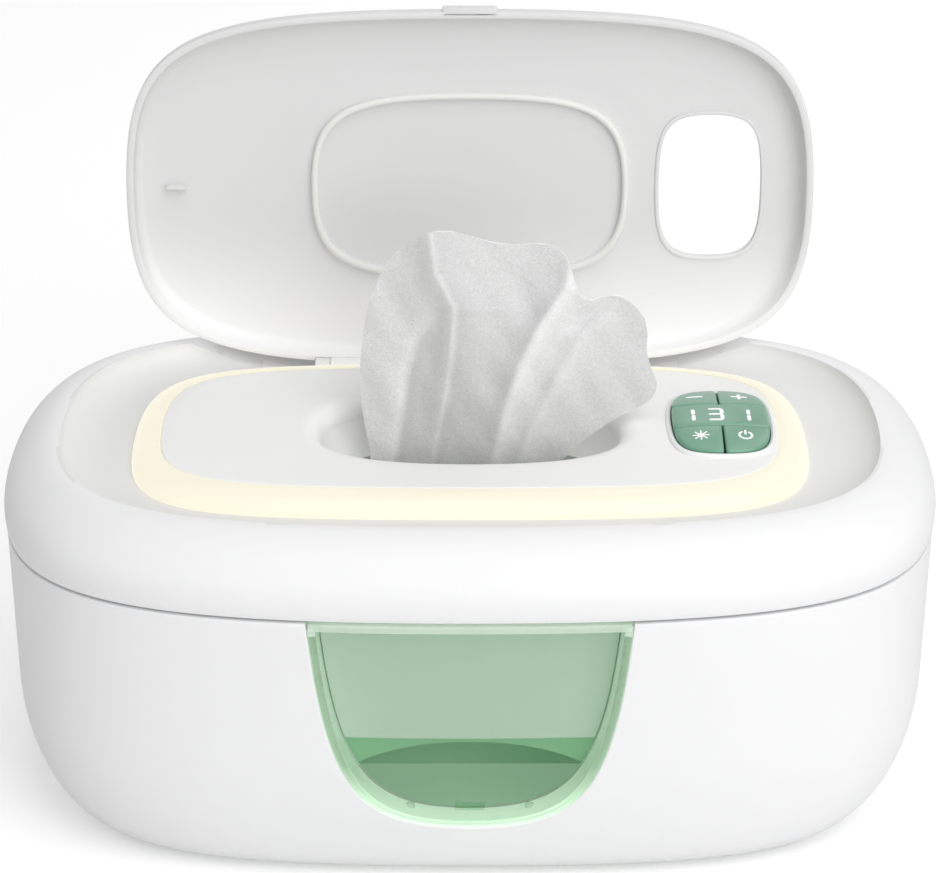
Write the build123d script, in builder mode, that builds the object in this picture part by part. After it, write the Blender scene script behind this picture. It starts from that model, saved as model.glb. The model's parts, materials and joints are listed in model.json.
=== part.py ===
from build123d import *

import os
from math import copysign, cos, hypot, pi, radians, sin

# Baby wipe warmer, in millimetres. X runs along its length, Y from front to back, Z up.
# The origin is the middle of its footprint on the table. The lid is modelled standing open.

# ---------------------------------------------------------------- driving dimensions
# Outlines follow superellipses: |x / half_x| ** power + |y / half_y| ** power = 1.
SLIDING_GAP = 0.3           # between pieces that move past each other
FIT_GAP = 0.25              # between pieces that are pushed into each other
PIN_GAP = 0.05              # radial, a pin in the knuckle that turns on it

# Body outline at the seam between base and cover
BODY_HALF_X = 123.0
BODY_HALF_Y = 78.0
BODY_POWER = 3.0
SEAM_Z = 79.6
SEAM_GAP = 0.8
WALL = 2.4

# Base: slight draft, then a large rounding into the underside
FOOT_HEIGHT = 1.2
FOOT_RADIUS = 8.0
FOOT_INSET_X = 24.0         # from the underside plate's edge to a foot's middle
FOOT_INSET_Y = 20.0
BASE_DRAFT = 0.03
BASE_ROUND_X = 21.9
BASE_ROUND_Y = 13.1
BASE_ROUND_Z = 37.0
BASE_POWER = 3.46

# Underside plate
PLATE_INSET = 9.0           # from the flat underside's edge to the plate's edge
PLATE_THICKNESS = 1.6
PLATE_LEDGE = 6.0
PLATE_LEDGE_HEIGHT = 2.4
PLATE_BOSS_HEIGHT = 9.0
PLATE_SCREW_TURNS = (30, 150, 210, 330)

# Front window
WINDOW_HALF_X = 40.9
WINDOW_DEPTH_Z = 60.2
WINDOW_FLANK = 0.896        # handles of the U outline, as shares of its size
WINDOW_DROP = 0.80
WINDOW_SOLE = 0.70
WINDOW_PANE = 2.0
WINDOW_SIDE = 2.0
WINDOW_SEAL = 1.2           # from the window's back edge to the tub's wall

# Inner tub for the wipes
TUB_INSET_X = 10.0          # from the body's seam outline in to the tub's wall
TUB_INSET_Y = 11.2
TUB_WALL = 1.8
TUB_FLOOR_Z = 18.0
TUB_POWER = 3.0
TUB_ROUND = 4.0
TUB_FLANGE = 5.2
TUB_FLANGE_THICKNESS = 1.6
LEDGE_THICKNESS = 2.0
LEDGE_BITE = 1.0            # how deep the ledge is rooted in the wall
LEDGE_GAP = 1.0
ARCH_HALF_X = 36.0
ARCH_RISE = 16.2
ARCH_CENTRE_Z = 24.0
LABEL_THICKNESS = 1.0
LABEL_BOTTOM_Z = 41.2
LABEL_BEVEL = 0.6

# Heater under the tub
HEATER_INSET_X = 34.0
HEATER_INSET_Y = 25.0
HEAT_PLATE_THICKNESS = 1.6
HEAT_FILM_THICKNESS = 0.4
INSULATION_THICKNESS = 3.2
SENSOR_RADIUS = 1.5
SENSOR_LENGTH = 12.0
SENSOR_X = 36.0
FILM_TAIL_HALF_X = 5.0
FILM_TAIL_REACH = 5.0

# Power board in the base, and the inlet in the back wall
BOARD_THICKNESS = 1.6
POWER_BOARD_X = 70.0
POWER_BOARD_Y = 36.0
POWER_BOARD_GAP = 13.0      # from the jack's tail to the board's back edge
POWER_BOARD_Z = 4.6
POST_RADIUS = 3.0
CAPACITOR_X = -20.0
CAPACITOR_RADIUS = 4.0
CAPACITOR_HEIGHT = 4.2
CHIP_LENGTH = 10.0
CHIP_WIDTH = 8.0
CHIP_HEIGHT = 3.2
CHIP_SHIFT_Y = -4.0
REGULATOR_X = 14.0
REGULATOR_WIDTH = 6.0
REGULATOR_HEIGHT = 2.2
SOCKET_LENGTH = 7.0
SOCKET_WIDTH = 4.0
SOCKET_HEIGHT = 3.2
SOCKET_INSET = 4.0          # from the board's back edge to the sockets' middles
WIRE_RISE = 2.1             # from the board's face up to the wires' middles
WIRE_LEAD = 5.0             # straight out of a socket
WIRE_JACK_X = 24.0
WIRE_HEAT_X = -3.0
WIRE_CONTACT_X = 6.0
WIRE_BEND = 3.0
WIRE_TURN_INSET = 3.0       # the contacts' wire turns upwards inside the tub's wall
WIRE_CLIMB_Y = 3.4          # and passes the tub's lower corner outside its wall
WIRE_CLIMB_Z = 6.0
COVER_WIRE_RADIUS = 1.0
JACK_X = 40.0
JACK_Z = 9.7
JACK_RADIUS = 4.4
JACK_BORE = 2.9
JACK_BORE_DEPTH = 9.0
JACK_PIN = 1.0
JACK_FLANGE_RADIUS = 5.4
JACK_FLANGE_THICKNESS = 1.6
JACK_SLEEVE = 1.0           # wall of the base's sleeve round the jack's flange
JACK_TAIL = 8.0
JACK_SEAT_INSET = 15.0      # from the back wall's seam outline in to the jack's flange
JACK_MOUTH_INSET = 11.0
CONTACT_HALF_X = 8.0
CONTACT_WIDTH = 3.4
CONTACT_INSET = 6.4         # from the back wall's seam outline to the contacts' middle
CONTACT_DROP = 8.0
CONTACT_RISE = 4.0
WIRE_RADIUS = 0.8

# Upper cover
SHOULDER_X = 13.8           # from the body's seam outline in to the lip
SHOULDER_Y = 14.9
COVER_RISE = 19.5           # from the seam up to the lip
COVER_BULGE = 1.1
BULGE_SPAN = 0.89           # share of the rise over which the cover swells
LIP_POWER = 3.1
LIP_WIDTH = 0.8
DISH_DEPTH = 6.1            # from the lip down to the dish floor
DISH_SLOPE_X = 12.0
DISH_SLOPE_Y = 9.0
DISH_WALL = 2.0

# Lid, light ring and deck, each set in from the lip
TRACK_X = 14.4              # from the lip in to the lid's edge
TRACK_Y = 13.1
LID_POWER = 3.45
LID_REACH_X = 5.2           # from the lid's edge in to the light ring's foot
LID_REACH_Y = 3.9
RING_WIDTH = 7.4
RING_RISE = 5.4
RING_SHELF = 2.0
DECK_POWER = 3.84
DECK_THICKNESS = 2.0
DECK_EDGE_ROUND = 0.5
LEFT_POST_INSET_X = 18.2    # from the deck's left end to the left posts
LEFT_POST_INSET_Y = 16.7
RIGHT_POST_INSET_X = 46.2   # from the deck's right end to the right posts
RIGHT_POST_INSET_Y = 6.7
GUTTER_WIDTH = 5.2
GUTTER_DEPTH = 3.2
GUTTER_WALL = 1.2
LED_COUNT = 24
LED_STRIP_THICKNESS = 0.4
LED_WIDTH = 2.8
LED_HEIGHT = 1.4

# Cover liner, its gasket and bosses
LINER_Z = 80.6
LINER_THICKNESS = 2.0
LINER_GAP_X = 1.2           # from the cover's inner face in to the liner
LINER_GAP_Y = 2.8
SEAL_WIDTH = 2.8
SEAL_INSET = 0.4            # from the tub's outer wall in to the gasket's edge
LINER_SCREW_TURNS = (0, 180, 50, 130, 230, 310)
LINER_SCREW_INSET = 1.0     # from the lid's outline in to the bosses' middles
BOSS_RADIUS = 3.2
SCREW_RADIUS = 1.25
SCREW_HEAD_RADIUS = 2.5
SCREW_HEAD_HEIGHT = 1.2
SCREW_REACH = 5.0

# Dispensing funnel and its slotted flap
FUNNEL_BEZEL_GAP = 7.15     # from the flared mouth to the control panel's bezel
FUNNEL_DECK_GAP = 13.2      # from the flared mouth to the deck's front and back edges
FUNNEL_FLARE = 5.5
FLARE_TURN = 78             # degrees through which the mouth flares before it meets the deck
FUNNEL_TAPER_X = 3.5        # from the throat in to the foot
FUNNEL_TAPER_Y = 5.0
FUNNEL_POWER = 2.5
FUNNEL_WALL = 1.6
FLAP_THICKNESS = 1.6
FLAP_RIM = 6.0              # from the funnel's foot out to the flap's edge
SLOT_INSET = 4.0            # from the funnel's foot in to the flap's slot
LINER_COLLAR = 1.8

# Control panel
PANEL_INSET = 15.6          # from the deck's end to the panel's middle
PANEL_HALF_X = 12.85
PANEL_HALF_Y = 19.15
PANEL_POWER = 3.3
PANEL_RISE = 3.6
PANEL_DOME_RADIUS = 92.0
DISPLAY_HALF_Y = 6.4
KEY_GAP = 0.3
KEY_TRAVEL = 0.7
KEY_CLEARANCE = 0.9         # from the key's underside to the mat's pad
BEZEL_WIDTH = 1.3
BEZEL_WALL = 0.5
BEZEL_RISE = 1.0
BEZEL_SKIRT = 4.0
BEZEL_CHAMFER = 0.5
DISPLAY_MODULE_X = 22.0
KEY_FOOT = 2.8              # from the deck's top down to the keys' underside
MAT_THICKNESS = 0.5
PAD_HEIGHT = 0.4
PAD_RADIUS = 2.6
CONTROL_BOARD_X = 23.0
CONTROL_BOARD_Y = 50.0
CONTROL_BOARD_ROUND = 6.0
CONTROL_BOARD_SHIFT = -1.8
BOARD_WIRE_INSET = 3.0      # from the board's left edge to its wire
CONTROL_BOSS_Y = 23.0
CONTROL_BOSS_RADIUS = 1.8
BOARD_SCREW_RADIUS = 0.9
BOARD_SCREW_REACH = 2.4
BOARD_SCREW_HEAD_RADIUS = 1.8
BOARD_SCREW_HEAD_HEIGHT = 1.2

# Lid
LID_RIM_GAP = 1.7           # from the dish floor to the shut lid's rim
LID_HEIGHT = 9.0
LID_WALL = 2.0
LID_ROUND = 4.5
LID_OPEN_ANGLE = 97.3
LID_WINDOW_HALF_X = 14.2
LID_WINDOW_HALF_Y = 20.1
LID_COLLAR_WIDTH = 1.3
LID_COLLAR_HEIGHT = 1.0
LID_SEAL_REACH_X = 4.5      # from the funnel's throat out to the rib's outer face
LID_SEAL_REACH_Y = 6.5
LID_SEAL_WIDTH = 1.8
LID_SEAL_POWER = 3.2
LID_TAB_HALF_X = 7.5
LID_TAB_REACH = 1.4
LID_TAB_THICKNESS = 2.2
LID_FIN_INSET = 13.3
LID_FIN_LENGTH = 6.0
LID_FIN_THICKNESS = 1.0

# Lid hinge, two stations in the dish behind the light ring
LID_HINGE_X = 34.0
LID_HINGE_DROP = 0.9        # from the shut lid's rim down to the hinge axis
LID_HINGE_INSET = 0.15
LID_KNUCKLE_RADIUS = 2.8
LID_KNUCKLE_LENGTH = 10.0
LID_BRACKET_LENGTH = 4.0
LID_PIN_RADIUS = 1.25
WELL_GAP = 1.0              # from the lid's outline out to the well's curved floor
WELL_DEPTH = 3.4            # at its middle, below the dish floor
WELL_WALL = 1.4
WELL_FRONT_GAP = 0.6
WELL_BACK_INSET = 1.6

# Cover hinge, two stations on the back wall
COVER_HINGE_X = 36.0
COVER_HINGE_INSET = 1.1
COVER_HINGE_RISE = 1.2
COVER_KNUCKLE_RADIUS = 2.3
COVER_KNUCKLE_LENGTH = 12.0
BASE_KNUCKLE_LENGTH = 7.0
COVER_PIN_RADIUS = 1.0

# Wipes
STACK_GAP_X = 18.0
STACK_GAP_Y = 25.0
STACK_TOP_Z = 62.0
STACK_ROUND = 5.0
SHEET_SLOT_GAP = 5.0        # from the slot's end in to the wipe's edge
SHEET_FOOT_Y = 4.0
SHEET_TOP_Z = 151.0
SHEET_SPREAD_RISE = 22.0
SHEET_SPREAD_X = 38.0
SHEET_SPREAD_Y = 9.0
SHEET_LEAN = 10.0

# ---------------------------------------------------------------- values that follow
BASE_TOP_Z = SEAM_Z - SEAM_GAP / 2
COVER_BOTTOM_Z = SEAM_Z + SEAM_GAP / 2
FLANGE_TOP_Z = BASE_TOP_Z - 0.6
LIP_HALF_X = BODY_HALF_X - SHOULDER_X
LIP_HALF_Y = BODY_HALF_Y - SHOULDER_Y
LIP_Z = SEAM_Z + COVER_RISE
DISH_FLOOR_Z = LIP_Z - DISH_DEPTH
LID_HALF_X = LIP_HALF_X - TRACK_X
LID_HALF_Y = LIP_HALF_Y - TRACK_Y
RING_HALF_X = LID_HALF_X - LID_REACH_X
RING_HALF_Y = LID_HALF_Y - LID_REACH_Y
DECK_HALF_X = RING_HALF_X - RING_WIDTH
DECK_HALF_Y = RING_HALF_Y - RING_WIDTH
DECK_Z = DISH_FLOOR_Z + RING_RISE
RING_HOLE_X = DECK_HALF_X - RING_SHELF
RING_HOLE_Y = DECK_HALF_Y - RING_SHELF
GUTTER_FLOOR_Z = DISH_FLOOR_Z - GUTTER_DEPTH
LINER_TOP_Z = LINER_Z + LINER_THICKNESS
FLAP_Z = LINER_TOP_Z + LINER_COLLAR
FUNNEL_FOOT_Z = FLAP_Z + FLAP_THICKNESS
LEFT_POST_X = LEFT_POST_INSET_X - DECK_HALF_X
LEFT_POST_Y = DECK_HALF_Y - LEFT_POST_INSET_Y
RIGHT_POST_X = DECK_HALF_X - RIGHT_POST_INSET_X
RIGHT_POST_Y = DECK_HALF_Y - RIGHT_POST_INSET_Y
DECK_POSTS = ((LEFT_POST_X, -LEFT_POST_Y), (LEFT_POST_X, LEFT_POST_Y),
              (RIGHT_POST_X, -RIGHT_POST_Y), (RIGHT_POST_X, RIGHT_POST_Y))
PANEL_X = DECK_HALF_X - PANEL_INSET
PANEL_TOP_Z = DECK_Z + PANEL_RISE
BEZEL_HOLE_X = PANEL_HALF_X + KEY_GAP
BEZEL_HOLE_Y = PANEL_HALF_Y + KEY_GAP
BEZEL_SKIRT_X = BEZEL_HOLE_X + BEZEL_WALL
BEZEL_SKIRT_Y = BEZEL_HOLE_Y + BEZEL_WALL
FUNNEL_HALF_X = PANEL_X - BEZEL_HOLE_X - BEZEL_WIDTH - FUNNEL_BEZEL_GAP - FUNNEL_FLARE
FUNNEL_HALF_Y = DECK_HALF_Y - FUNNEL_DECK_GAP - FUNNEL_FLARE
FUNNEL_FOOT_HALF_X = FUNNEL_HALF_X - FUNNEL_TAPER_X
FUNNEL_FOOT_HALF_Y = FUNNEL_HALF_Y - FUNNEL_TAPER_Y
FLAP_HALF_X = FUNNEL_FOOT_HALF_X + FLAP_RIM
FLAP_HALF_Y = FUNNEL_FOOT_HALF_Y + FLAP_RIM
SLOT_HALF_X = FUNNEL_FOOT_HALF_X - SLOT_INSET
SLOT_HALF_Y = FUNNEL_FOOT_HALF_Y - SLOT_INSET
LID_SEAL_HALF_X = FUNNEL_HALF_X + LID_SEAL_REACH_X
LID_SEAL_HALF_Y = FUNNEL_HALF_Y + LID_SEAL_REACH_Y
SHEET_FOOT_X = SLOT_HALF_X - SHEET_SLOT_GAP
LINER_SCREW_HALF_X = LID_HALF_X - LINER_SCREW_INSET
LINER_SCREW_HALF_Y = LID_HALF_Y - LINER_SCREW_INSET
KEY_FOOT_Z = DECK_Z - KEY_FOOT
PAD_TOP_Z = KEY_FOOT_Z - KEY_CLEARANCE
CONTROL_BOARD_Z = PAD_TOP_Z - PAD_HEIGHT - MAT_THICKNESS - BOARD_THICKNESS
CONTROL_BOARD_TOP_Z = CONTROL_BOARD_Z + BOARD_THICKNESS
LID_RIM_Z = DISH_FLOOR_Z + LID_RIM_GAP
LID_INNER_Z = LID_RIM_Z + LID_HEIGHT - LID_WALL
LID_HINGE_Y = LID_HALF_Y - LID_HINGE_INSET
LID_HINGE_Z = LID_RIM_Z - LID_HINGE_DROP
WELL_FLOOR_Z = DISH_FLOOR_Z - WELL_DEPTH
WELL_FRONT_Y = RING_HALF_Y + WELL_FRONT_GAP
WELL_BACK_Y = LIP_HALF_Y - WELL_BACK_INSET
COVER_HINGE_Y = BODY_HALF_Y - COVER_HINGE_INSET
COVER_HINGE_Z = SEAM_Z + COVER_HINGE_RISE
TUB_HALF_X = BODY_HALF_X - TUB_INSET_X
TUB_HALF_Y = BODY_HALF_Y - TUB_INSET_Y
WINDOW_BACK = TUB_HALF_Y + WINDOW_SEAL
LEDGE_Z = FLANGE_TOP_Z - TUB_FLANGE_THICKNESS - LEDGE_THICKNESS
CONTACT_LOW_Y = BODY_HALF_Y - CONTACT_INSET - CONTACT_WIDTH / 2
CONTACT_HIGH_Y = CONTACT_LOW_Y + CONTACT_WIDTH
JACK_SEAT_Y = BODY_HALF_Y - JACK_SEAT_INSET
JACK_MOUTH_Y = BODY_HALF_Y - JACK_MOUTH_INSET
POWER_BOARD_BACK_Y = JACK_SEAT_Y - JACK_TAIL - POWER_BOARD_GAP
POWER_BOARD_CENTRE_Y = POWER_BOARD_BACK_Y - POWER_BOARD_Y / 2
SOCKET_Y = POWER_BOARD_BACK_Y - SOCKET_INSET
COVER_HINGE_SPAN = COVER_KNUCKLE_LENGTH + 2 * SLIDING_GAP + 2 * BASE_KNUCKLE_LENGTH
LID_HINGE_SPAN = LID_KNUCKLE_LENGTH + 2 * SLIDING_GAP + 2 * LID_BRACKET_LENGTH
STACK_HALF_X = TUB_HALF_X - TUB_WALL - STACK_GAP_X
STACK_HALF_Y = TUB_HALF_Y - TUB_WALL - STACK_GAP_Y
TUB_BOTTOM_Z = TUB_FLOOR_Z - TUB_WALL
LINER_HALF_X = BODY_HALF_X - WALL - LINER_GAP_X
LINER_HALF_Y = BODY_HALF_Y - WALL - LINER_GAP_Y
HEAT_HALF_X = TUB_HALF_X - HEATER_INSET_X
HEAT_HALF_Y = TUB_HALF_Y - HEATER_INSET_Y
HEAT_PLATE_Z = TUB_BOTTOM_Z - HEAT_PLATE_THICKNESS
HEAT_FILM_Z = HEAT_PLATE_Z - HEAT_FILM_THICKNESS
INSULATION_Z = HEAT_FILM_Z - INSULATION_THICKNESS
PLATE_HALF_X = BODY_HALF_X - BASE_DRAFT * SEAM_Z - BASE_ROUND_X - PLATE_INSET
PLATE_HALF_Y = BODY_HALF_Y - BASE_DRAFT * SEAM_Z - BASE_ROUND_Y - PLATE_INSET
PLATE_TOP_Z = FOOT_HEIGHT + PLATE_THICKNESS
PLATE_SCREW_HALF_X = PLATE_HALF_X - PLATE_LEDGE / 2
PLATE_SCREW_HALF_Y = PLATE_HALF_Y - PLATE_LEDGE / 2
CENTRE_BOTTOM = (Align.CENTER, Align.CENTER, Align.MIN)
ALONG_X = (0, 90, 0)
ALONG_Y = (90, 0, 0)


# ---------------------------------------------------------------- outlines and helpers
class Oval(BaseSketchObject):
    """Four cubic curves whose diagonals lie on the superellipse of this power."""

    def __init__(self, half_x, half_y, power, mode=Mode.ADD):
        handle = (8 * 0.5 ** (1 / power) - 4) / 3
        corner = [(1, 0), (1, handle), (handle, 1), (0, 1)]
        with BuildSketch(mode=Mode.PRIVATE) as shape:
            with BuildLine():
                for side_x, side_y in ((1, 1), (-1, 1), (-1, -1), (1, -1)):
                    points = [(side_x * half_x * share_x, side_y * half_y * share_y)
                              for share_x, share_y in corner]
                    Bezier(*(points if side_x * side_y > 0 else reversed(points)))
            make_face()
        super().__init__(obj=shape.sketch, mode=mode)


def loft_ovals(sections, mode=Mode.ADD, ruled=False, centre_x=0.0):
    """Loft a solid through ovals given as (half_x, half_y, power, height)."""
    outlines = []
    for half_x, half_y, power, height in sections:
        with BuildSketch(Plane.XY.offset(height)) as outline:
            with Locations((centre_x, 0)):
                Oval(half_x, half_y, power)
        outlines.append(outline.sketch)
    loft(outlines, ruled=ruled, mode=mode)


def oval_slab(half_x, half_y, power, low, high, mode=Mode.ADD):
    """Extrude an oval from one height to another."""
    with BuildSketch(Plane.XY.offset(low)) as outline:
        Oval(half_x, half_y, power)
    extrude(outline.sketch, amount=high - low, mode=mode)


def oval_point(half_x, half_y, power, turn_degrees):
    """The point of an oval at a turn of its formula's angle."""
    turn = radians(turn_degrees)
    across, along = cos(turn), sin(turn)
    point_x = half_x * copysign(abs(across) ** (2 / power), across)
    point_y = half_y * copysign(abs(along) ** (2 / power), along)
    return point_x, point_y


def panel_slab(half_x, half_y, low, high, mode=Mode.ADD):
    """Extrude an oval about the panel's middle from one height to another."""
    with BuildSketch(Plane.XY.offset(low)) as outline:
        with Locations((PANEL_X, 0)):
            Oval(half_x, half_y, PANEL_POWER)
    extrude(outline.sketch, amount=high - low, mode=mode)


def base_outline(height, inward):
    """Half sizes and power of the base's outline at a height, moved in by a distance."""
    share = (SEAM_Z - height) / (SEAM_Z - FOOT_HEIGHT)
    power = BODY_POWER + (BASE_POWER - BODY_POWER) * share
    inward = inward + BASE_DRAFT * (SEAM_Z - height)
    return BODY_HALF_X - inward, BODY_HALF_Y - inward, power


def loft_base(depth):
    """Loft the base's outer face, moved inwards along its normal by depth."""
    round_middle = (BASE_ROUND_X + BASE_ROUND_Y) / 2
    sections = []
    for turn_degrees in (0, 15, 30, 45, 60, 75, 90):
        turn = radians(turn_degrees)
        across = BASE_ROUND_Z * sin(turn)
        upward = round_middle * cos(turn)
        length = hypot(across, upward)
        outer_z = FOOT_HEIGHT + BASE_ROUND_Z * (1 - cos(turn))
        half_x, half_y, power = base_outline(outer_z, depth * across / length)
        sections.append((half_x - BASE_ROUND_X * (1 - sin(turn)),
                         half_y - BASE_ROUND_Y * (1 - sin(turn)), power,
                         outer_z + depth * upward / length))
    loft_ovals(sections)
    loft_ovals([sections[-1], (*base_outline(BASE_TOP_Z, depth), BASE_TOP_Z)], ruled=True)


def cover_sections(depth, low):
    """Sections of the cover's outer face from the seam to the lip, moved in by depth."""
    sections = [(BODY_HALF_X - depth, BODY_HALF_Y - depth, BODY_POWER, low)]
    rise = LIP_Z - depth - low
    for turn_degrees in (12, 26, 40, 54, 70, 90):
        turn = radians(turn_degrees)
        inward = 1 - cos(turn)
        swell = COVER_BULGE * sin(pi * min(sin(turn) / BULGE_SPAN, 1))
        power = BODY_POWER + (LIP_POWER - BODY_POWER) * sin(turn)
        half_x = BODY_HALF_X - depth - SHOULDER_X * inward + swell
        half_y = BODY_HALF_Y - depth - SHOULDER_Y * inward + swell
        sections.append((half_x, half_y, power, low + rise * sin(turn)))
    return sections


def dish_sections(wall):
    """Sections of the dish from its floor up to the lip, grown outwards by wall."""
    sections = []
    for turn_degrees in (90, 68, 45, 22, 0):
        turn = radians(turn_degrees)
        half_x = LIP_HALF_X - LIP_WIDTH - DISH_SLOPE_X * (1 - cos(turn))
        half_y = LIP_HALF_Y - LIP_WIDTH - DISH_SLOPE_Y * (1 - cos(turn))
        grown = wall * cos(turn)
        height = LIP_Z - (DISH_DEPTH + wall) * sin(turn)
        sections.append((half_x + grown, half_y + grown, LIP_POWER, height))
    return sections


class WindowOutline(BaseSketchObject):
    """The window's U outline on an XZ plane, closed along the base's top edge."""

    def __init__(self, inset, mode=Mode.ADD):
        half_x = WINDOW_HALF_X - inset
        depth = WINDOW_DEPTH_Z - inset
        with BuildSketch(mode=Mode.PRIVATE) as shape:
            with BuildLine():
                for side in (-1, 1):
                    Bezier((side * half_x, BASE_TOP_Z),
                           (side * half_x * WINDOW_FLANK, BASE_TOP_Z - depth * WINDOW_DROP),
                           (side * half_x * WINDOW_SOLE, BASE_TOP_Z - depth),
                           (0, BASE_TOP_Z - depth))
                Line((-half_x, BASE_TOP_Z), (half_x, BASE_TOP_Z))
            make_face()
        super().__init__(obj=shape.sketch, mode=mode)


def cylinder_x(centre, radius, length, mode=Mode.ADD):
    """A cylinder along X about a centre."""
    with Locations(centre):
        Cylinder(radius, length, rotation=ALONG_X, mode=mode)


def block(low, high, mode=Mode.ADD):
    """A box between two corners."""
    middle = tuple((low[axis] + high[axis]) / 2 for axis in range(3))
    with Locations(middle):
        Box(*[high[axis] - low[axis] for axis in range(3)], mode=mode)


def save(builder, name):
    """Label a finished piece and write it to its own file."""
    builder.part.label = name
    export_step(builder.part, f"parts/{name}.step")


os.makedirs("parts", exist_ok=True)

# ---------------------------------------------------------------- base shell
with BuildPart() as window_aperture:
    with BuildSketch(Plane.XZ.offset(TUB_HALF_Y / 2)):
        WindowOutline(0.0)
    extrude(amount=BODY_HALF_Y)

with BuildPart() as base_cavity:
    loft_base(WALL)
    oval_slab(BODY_HALF_X - WALL, BODY_HALF_Y - WALL, BODY_POWER, BASE_TOP_Z, SEAM_Z)

with BuildPart() as jack_boss:
    loft_base(WALL / 2)
    with BuildSketch(Plane.XZ.offset(-JACK_SEAT_Y)):
        with Locations((JACK_X, JACK_Z)):
            Circle(JACK_FLANGE_RADIUS + JACK_SLEEVE)
    extrude(amount=-BODY_HALF_Y, mode=Mode.INTERSECT)

with BuildPart() as base_shell:
    loft_base(0.0)
    add(base_cavity.part, mode=Mode.SUBTRACT)
    # ledge that carries the tub's flange, buried a little in the wall
    ledge_x = BODY_HALF_X - WALL + LEDGE_BITE
    ledge_y = BODY_HALF_Y - WALL + LEDGE_BITE
    with BuildSketch(Plane.XY.offset(LEDGE_Z)):
        Oval(ledge_x, ledge_y, BODY_POWER)
        Oval(TUB_HALF_X + LEDGE_GAP, TUB_HALF_Y + LEDGE_GAP, TUB_POWER, mode=Mode.SUBTRACT)
    extrude(amount=LEDGE_THICKNESS)
    # opening for the underside plate, with a ledge above the plate
    oval_slab(PLATE_HALF_X, PLATE_HALF_Y, BASE_POWER, PLATE_TOP_Z,
              PLATE_TOP_Z + PLATE_LEDGE_HEIGHT)
    oval_slab(PLATE_HALF_X - PLATE_LEDGE, PLATE_HALF_Y - PLATE_LEDGE, BASE_POWER,
              FOOT_HEIGHT, PLATE_TOP_Z + PLATE_LEDGE_HEIGHT, mode=Mode.SUBTRACT)
    oval_slab(PLATE_HALF_X, PLATE_HALF_Y, BASE_POWER, FOOT_HEIGHT, PLATE_TOP_Z,
              mode=Mode.SUBTRACT)
    for turn_degrees in PLATE_SCREW_TURNS:
        boss_x, boss_y = oval_point(PLATE_SCREW_HALF_X, PLATE_SCREW_HALF_Y, BASE_POWER,
                                    turn_degrees)
        with Locations((boss_x, boss_y, PLATE_TOP_Z)):
            Cylinder(BOSS_RADIUS, PLATE_BOSS_HEIGHT, align=CENTRE_BOTTOM)
            Cylinder(SCREW_RADIUS, SCREW_REACH, align=CENTRE_BOTTOM, mode=Mode.SUBTRACT)
    # seat and hole for the power inlet
    add(jack_boss.part)
    with Locations((JACK_X, JACK_SEAT_Y, JACK_Z)):
        Cylinder(JACK_RADIUS + FIT_GAP, 3 * JACK_SEAT_INSET, rotation=ALONG_Y,
                 mode=Mode.SUBTRACT)
    add(window_aperture.part, mode=Mode.SUBTRACT)
    # notch in the ledge for the electric contacts
    contact_low = (-CONTACT_HALF_X - SLIDING_GAP, CONTACT_LOW_Y - SLIDING_GAP,
                   LEDGE_Z - SLIDING_GAP)
    contact_high = (CONTACT_HALF_X + SLIDING_GAP, CONTACT_HIGH_Y + SLIDING_GAP, BASE_TOP_Z)
    block(contact_low, contact_high, mode=Mode.SUBTRACT)
    # hinge knuckles, with room for the cover's knuckles between them
    for side in (-1, 1):
        centre = (side * COVER_HINGE_X, COVER_HINGE_Y, COVER_HINGE_Z)
        cylinder_x(centre, COVER_KNUCKLE_RADIUS, COVER_HINGE_SPAN)
        cylinder_x(centre, COVER_KNUCKLE_RADIUS + 2 * SLIDING_GAP,
                   COVER_KNUCKLE_LENGTH + 2 * SLIDING_GAP, mode=Mode.SUBTRACT)
        cylinder_x(centre, COVER_PIN_RADIUS, COVER_HINGE_SPAN, mode=Mode.SUBTRACT)
save(base_shell, "base_shell")

# ---------------------------------------------------------------- underside
with BuildPart() as bottom_plate:
    oval_slab(PLATE_HALF_X - FIT_GAP, PLATE_HALF_Y - FIT_GAP, BASE_POWER, FOOT_HEIGHT,
              PLATE_TOP_Z)
    for turn_degrees in PLATE_SCREW_TURNS:
        hole_x, hole_y = oval_point(PLATE_SCREW_HALF_X, PLATE_SCREW_HALF_Y, BASE_POWER,
                                    turn_degrees)
        with Locations((hole_x, hole_y, FOOT_HEIGHT)):
            Cylinder(SCREW_RADIUS + FIT_GAP, PLATE_THICKNESS, align=CENTRE_BOTTOM,
                     mode=Mode.SUBTRACT)
            Cylinder(SCREW_HEAD_RADIUS + FIT_GAP, SCREW_HEAD_HEIGHT, align=CENTRE_BOTTOM,
                     mode=Mode.SUBTRACT)
    # posts for the power board
    with Locations((0, POWER_BOARD_CENTRE_Y, PLATE_TOP_Z)):
        with GridLocations(POWER_BOARD_X - 2 * POST_RADIUS, POWER_BOARD_Y - 2 * POST_RADIUS,
                           2, 2):
            Cylinder(POST_RADIUS, POWER_BOARD_Z - PLATE_TOP_Z, align=CENTRE_BOTTOM)
save(bottom_plate, "bottom_plate")

with BuildPart() as rubber_feet:
    with GridLocations(2 * (PLATE_HALF_X - FOOT_INSET_X), 2 * (PLATE_HALF_Y - FOOT_INSET_Y),
                       2, 2):
        Cylinder(FOOT_RADIUS, FOOT_HEIGHT, align=CENTRE_BOTTOM)
save(rubber_feet, "rubber_feet")

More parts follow.
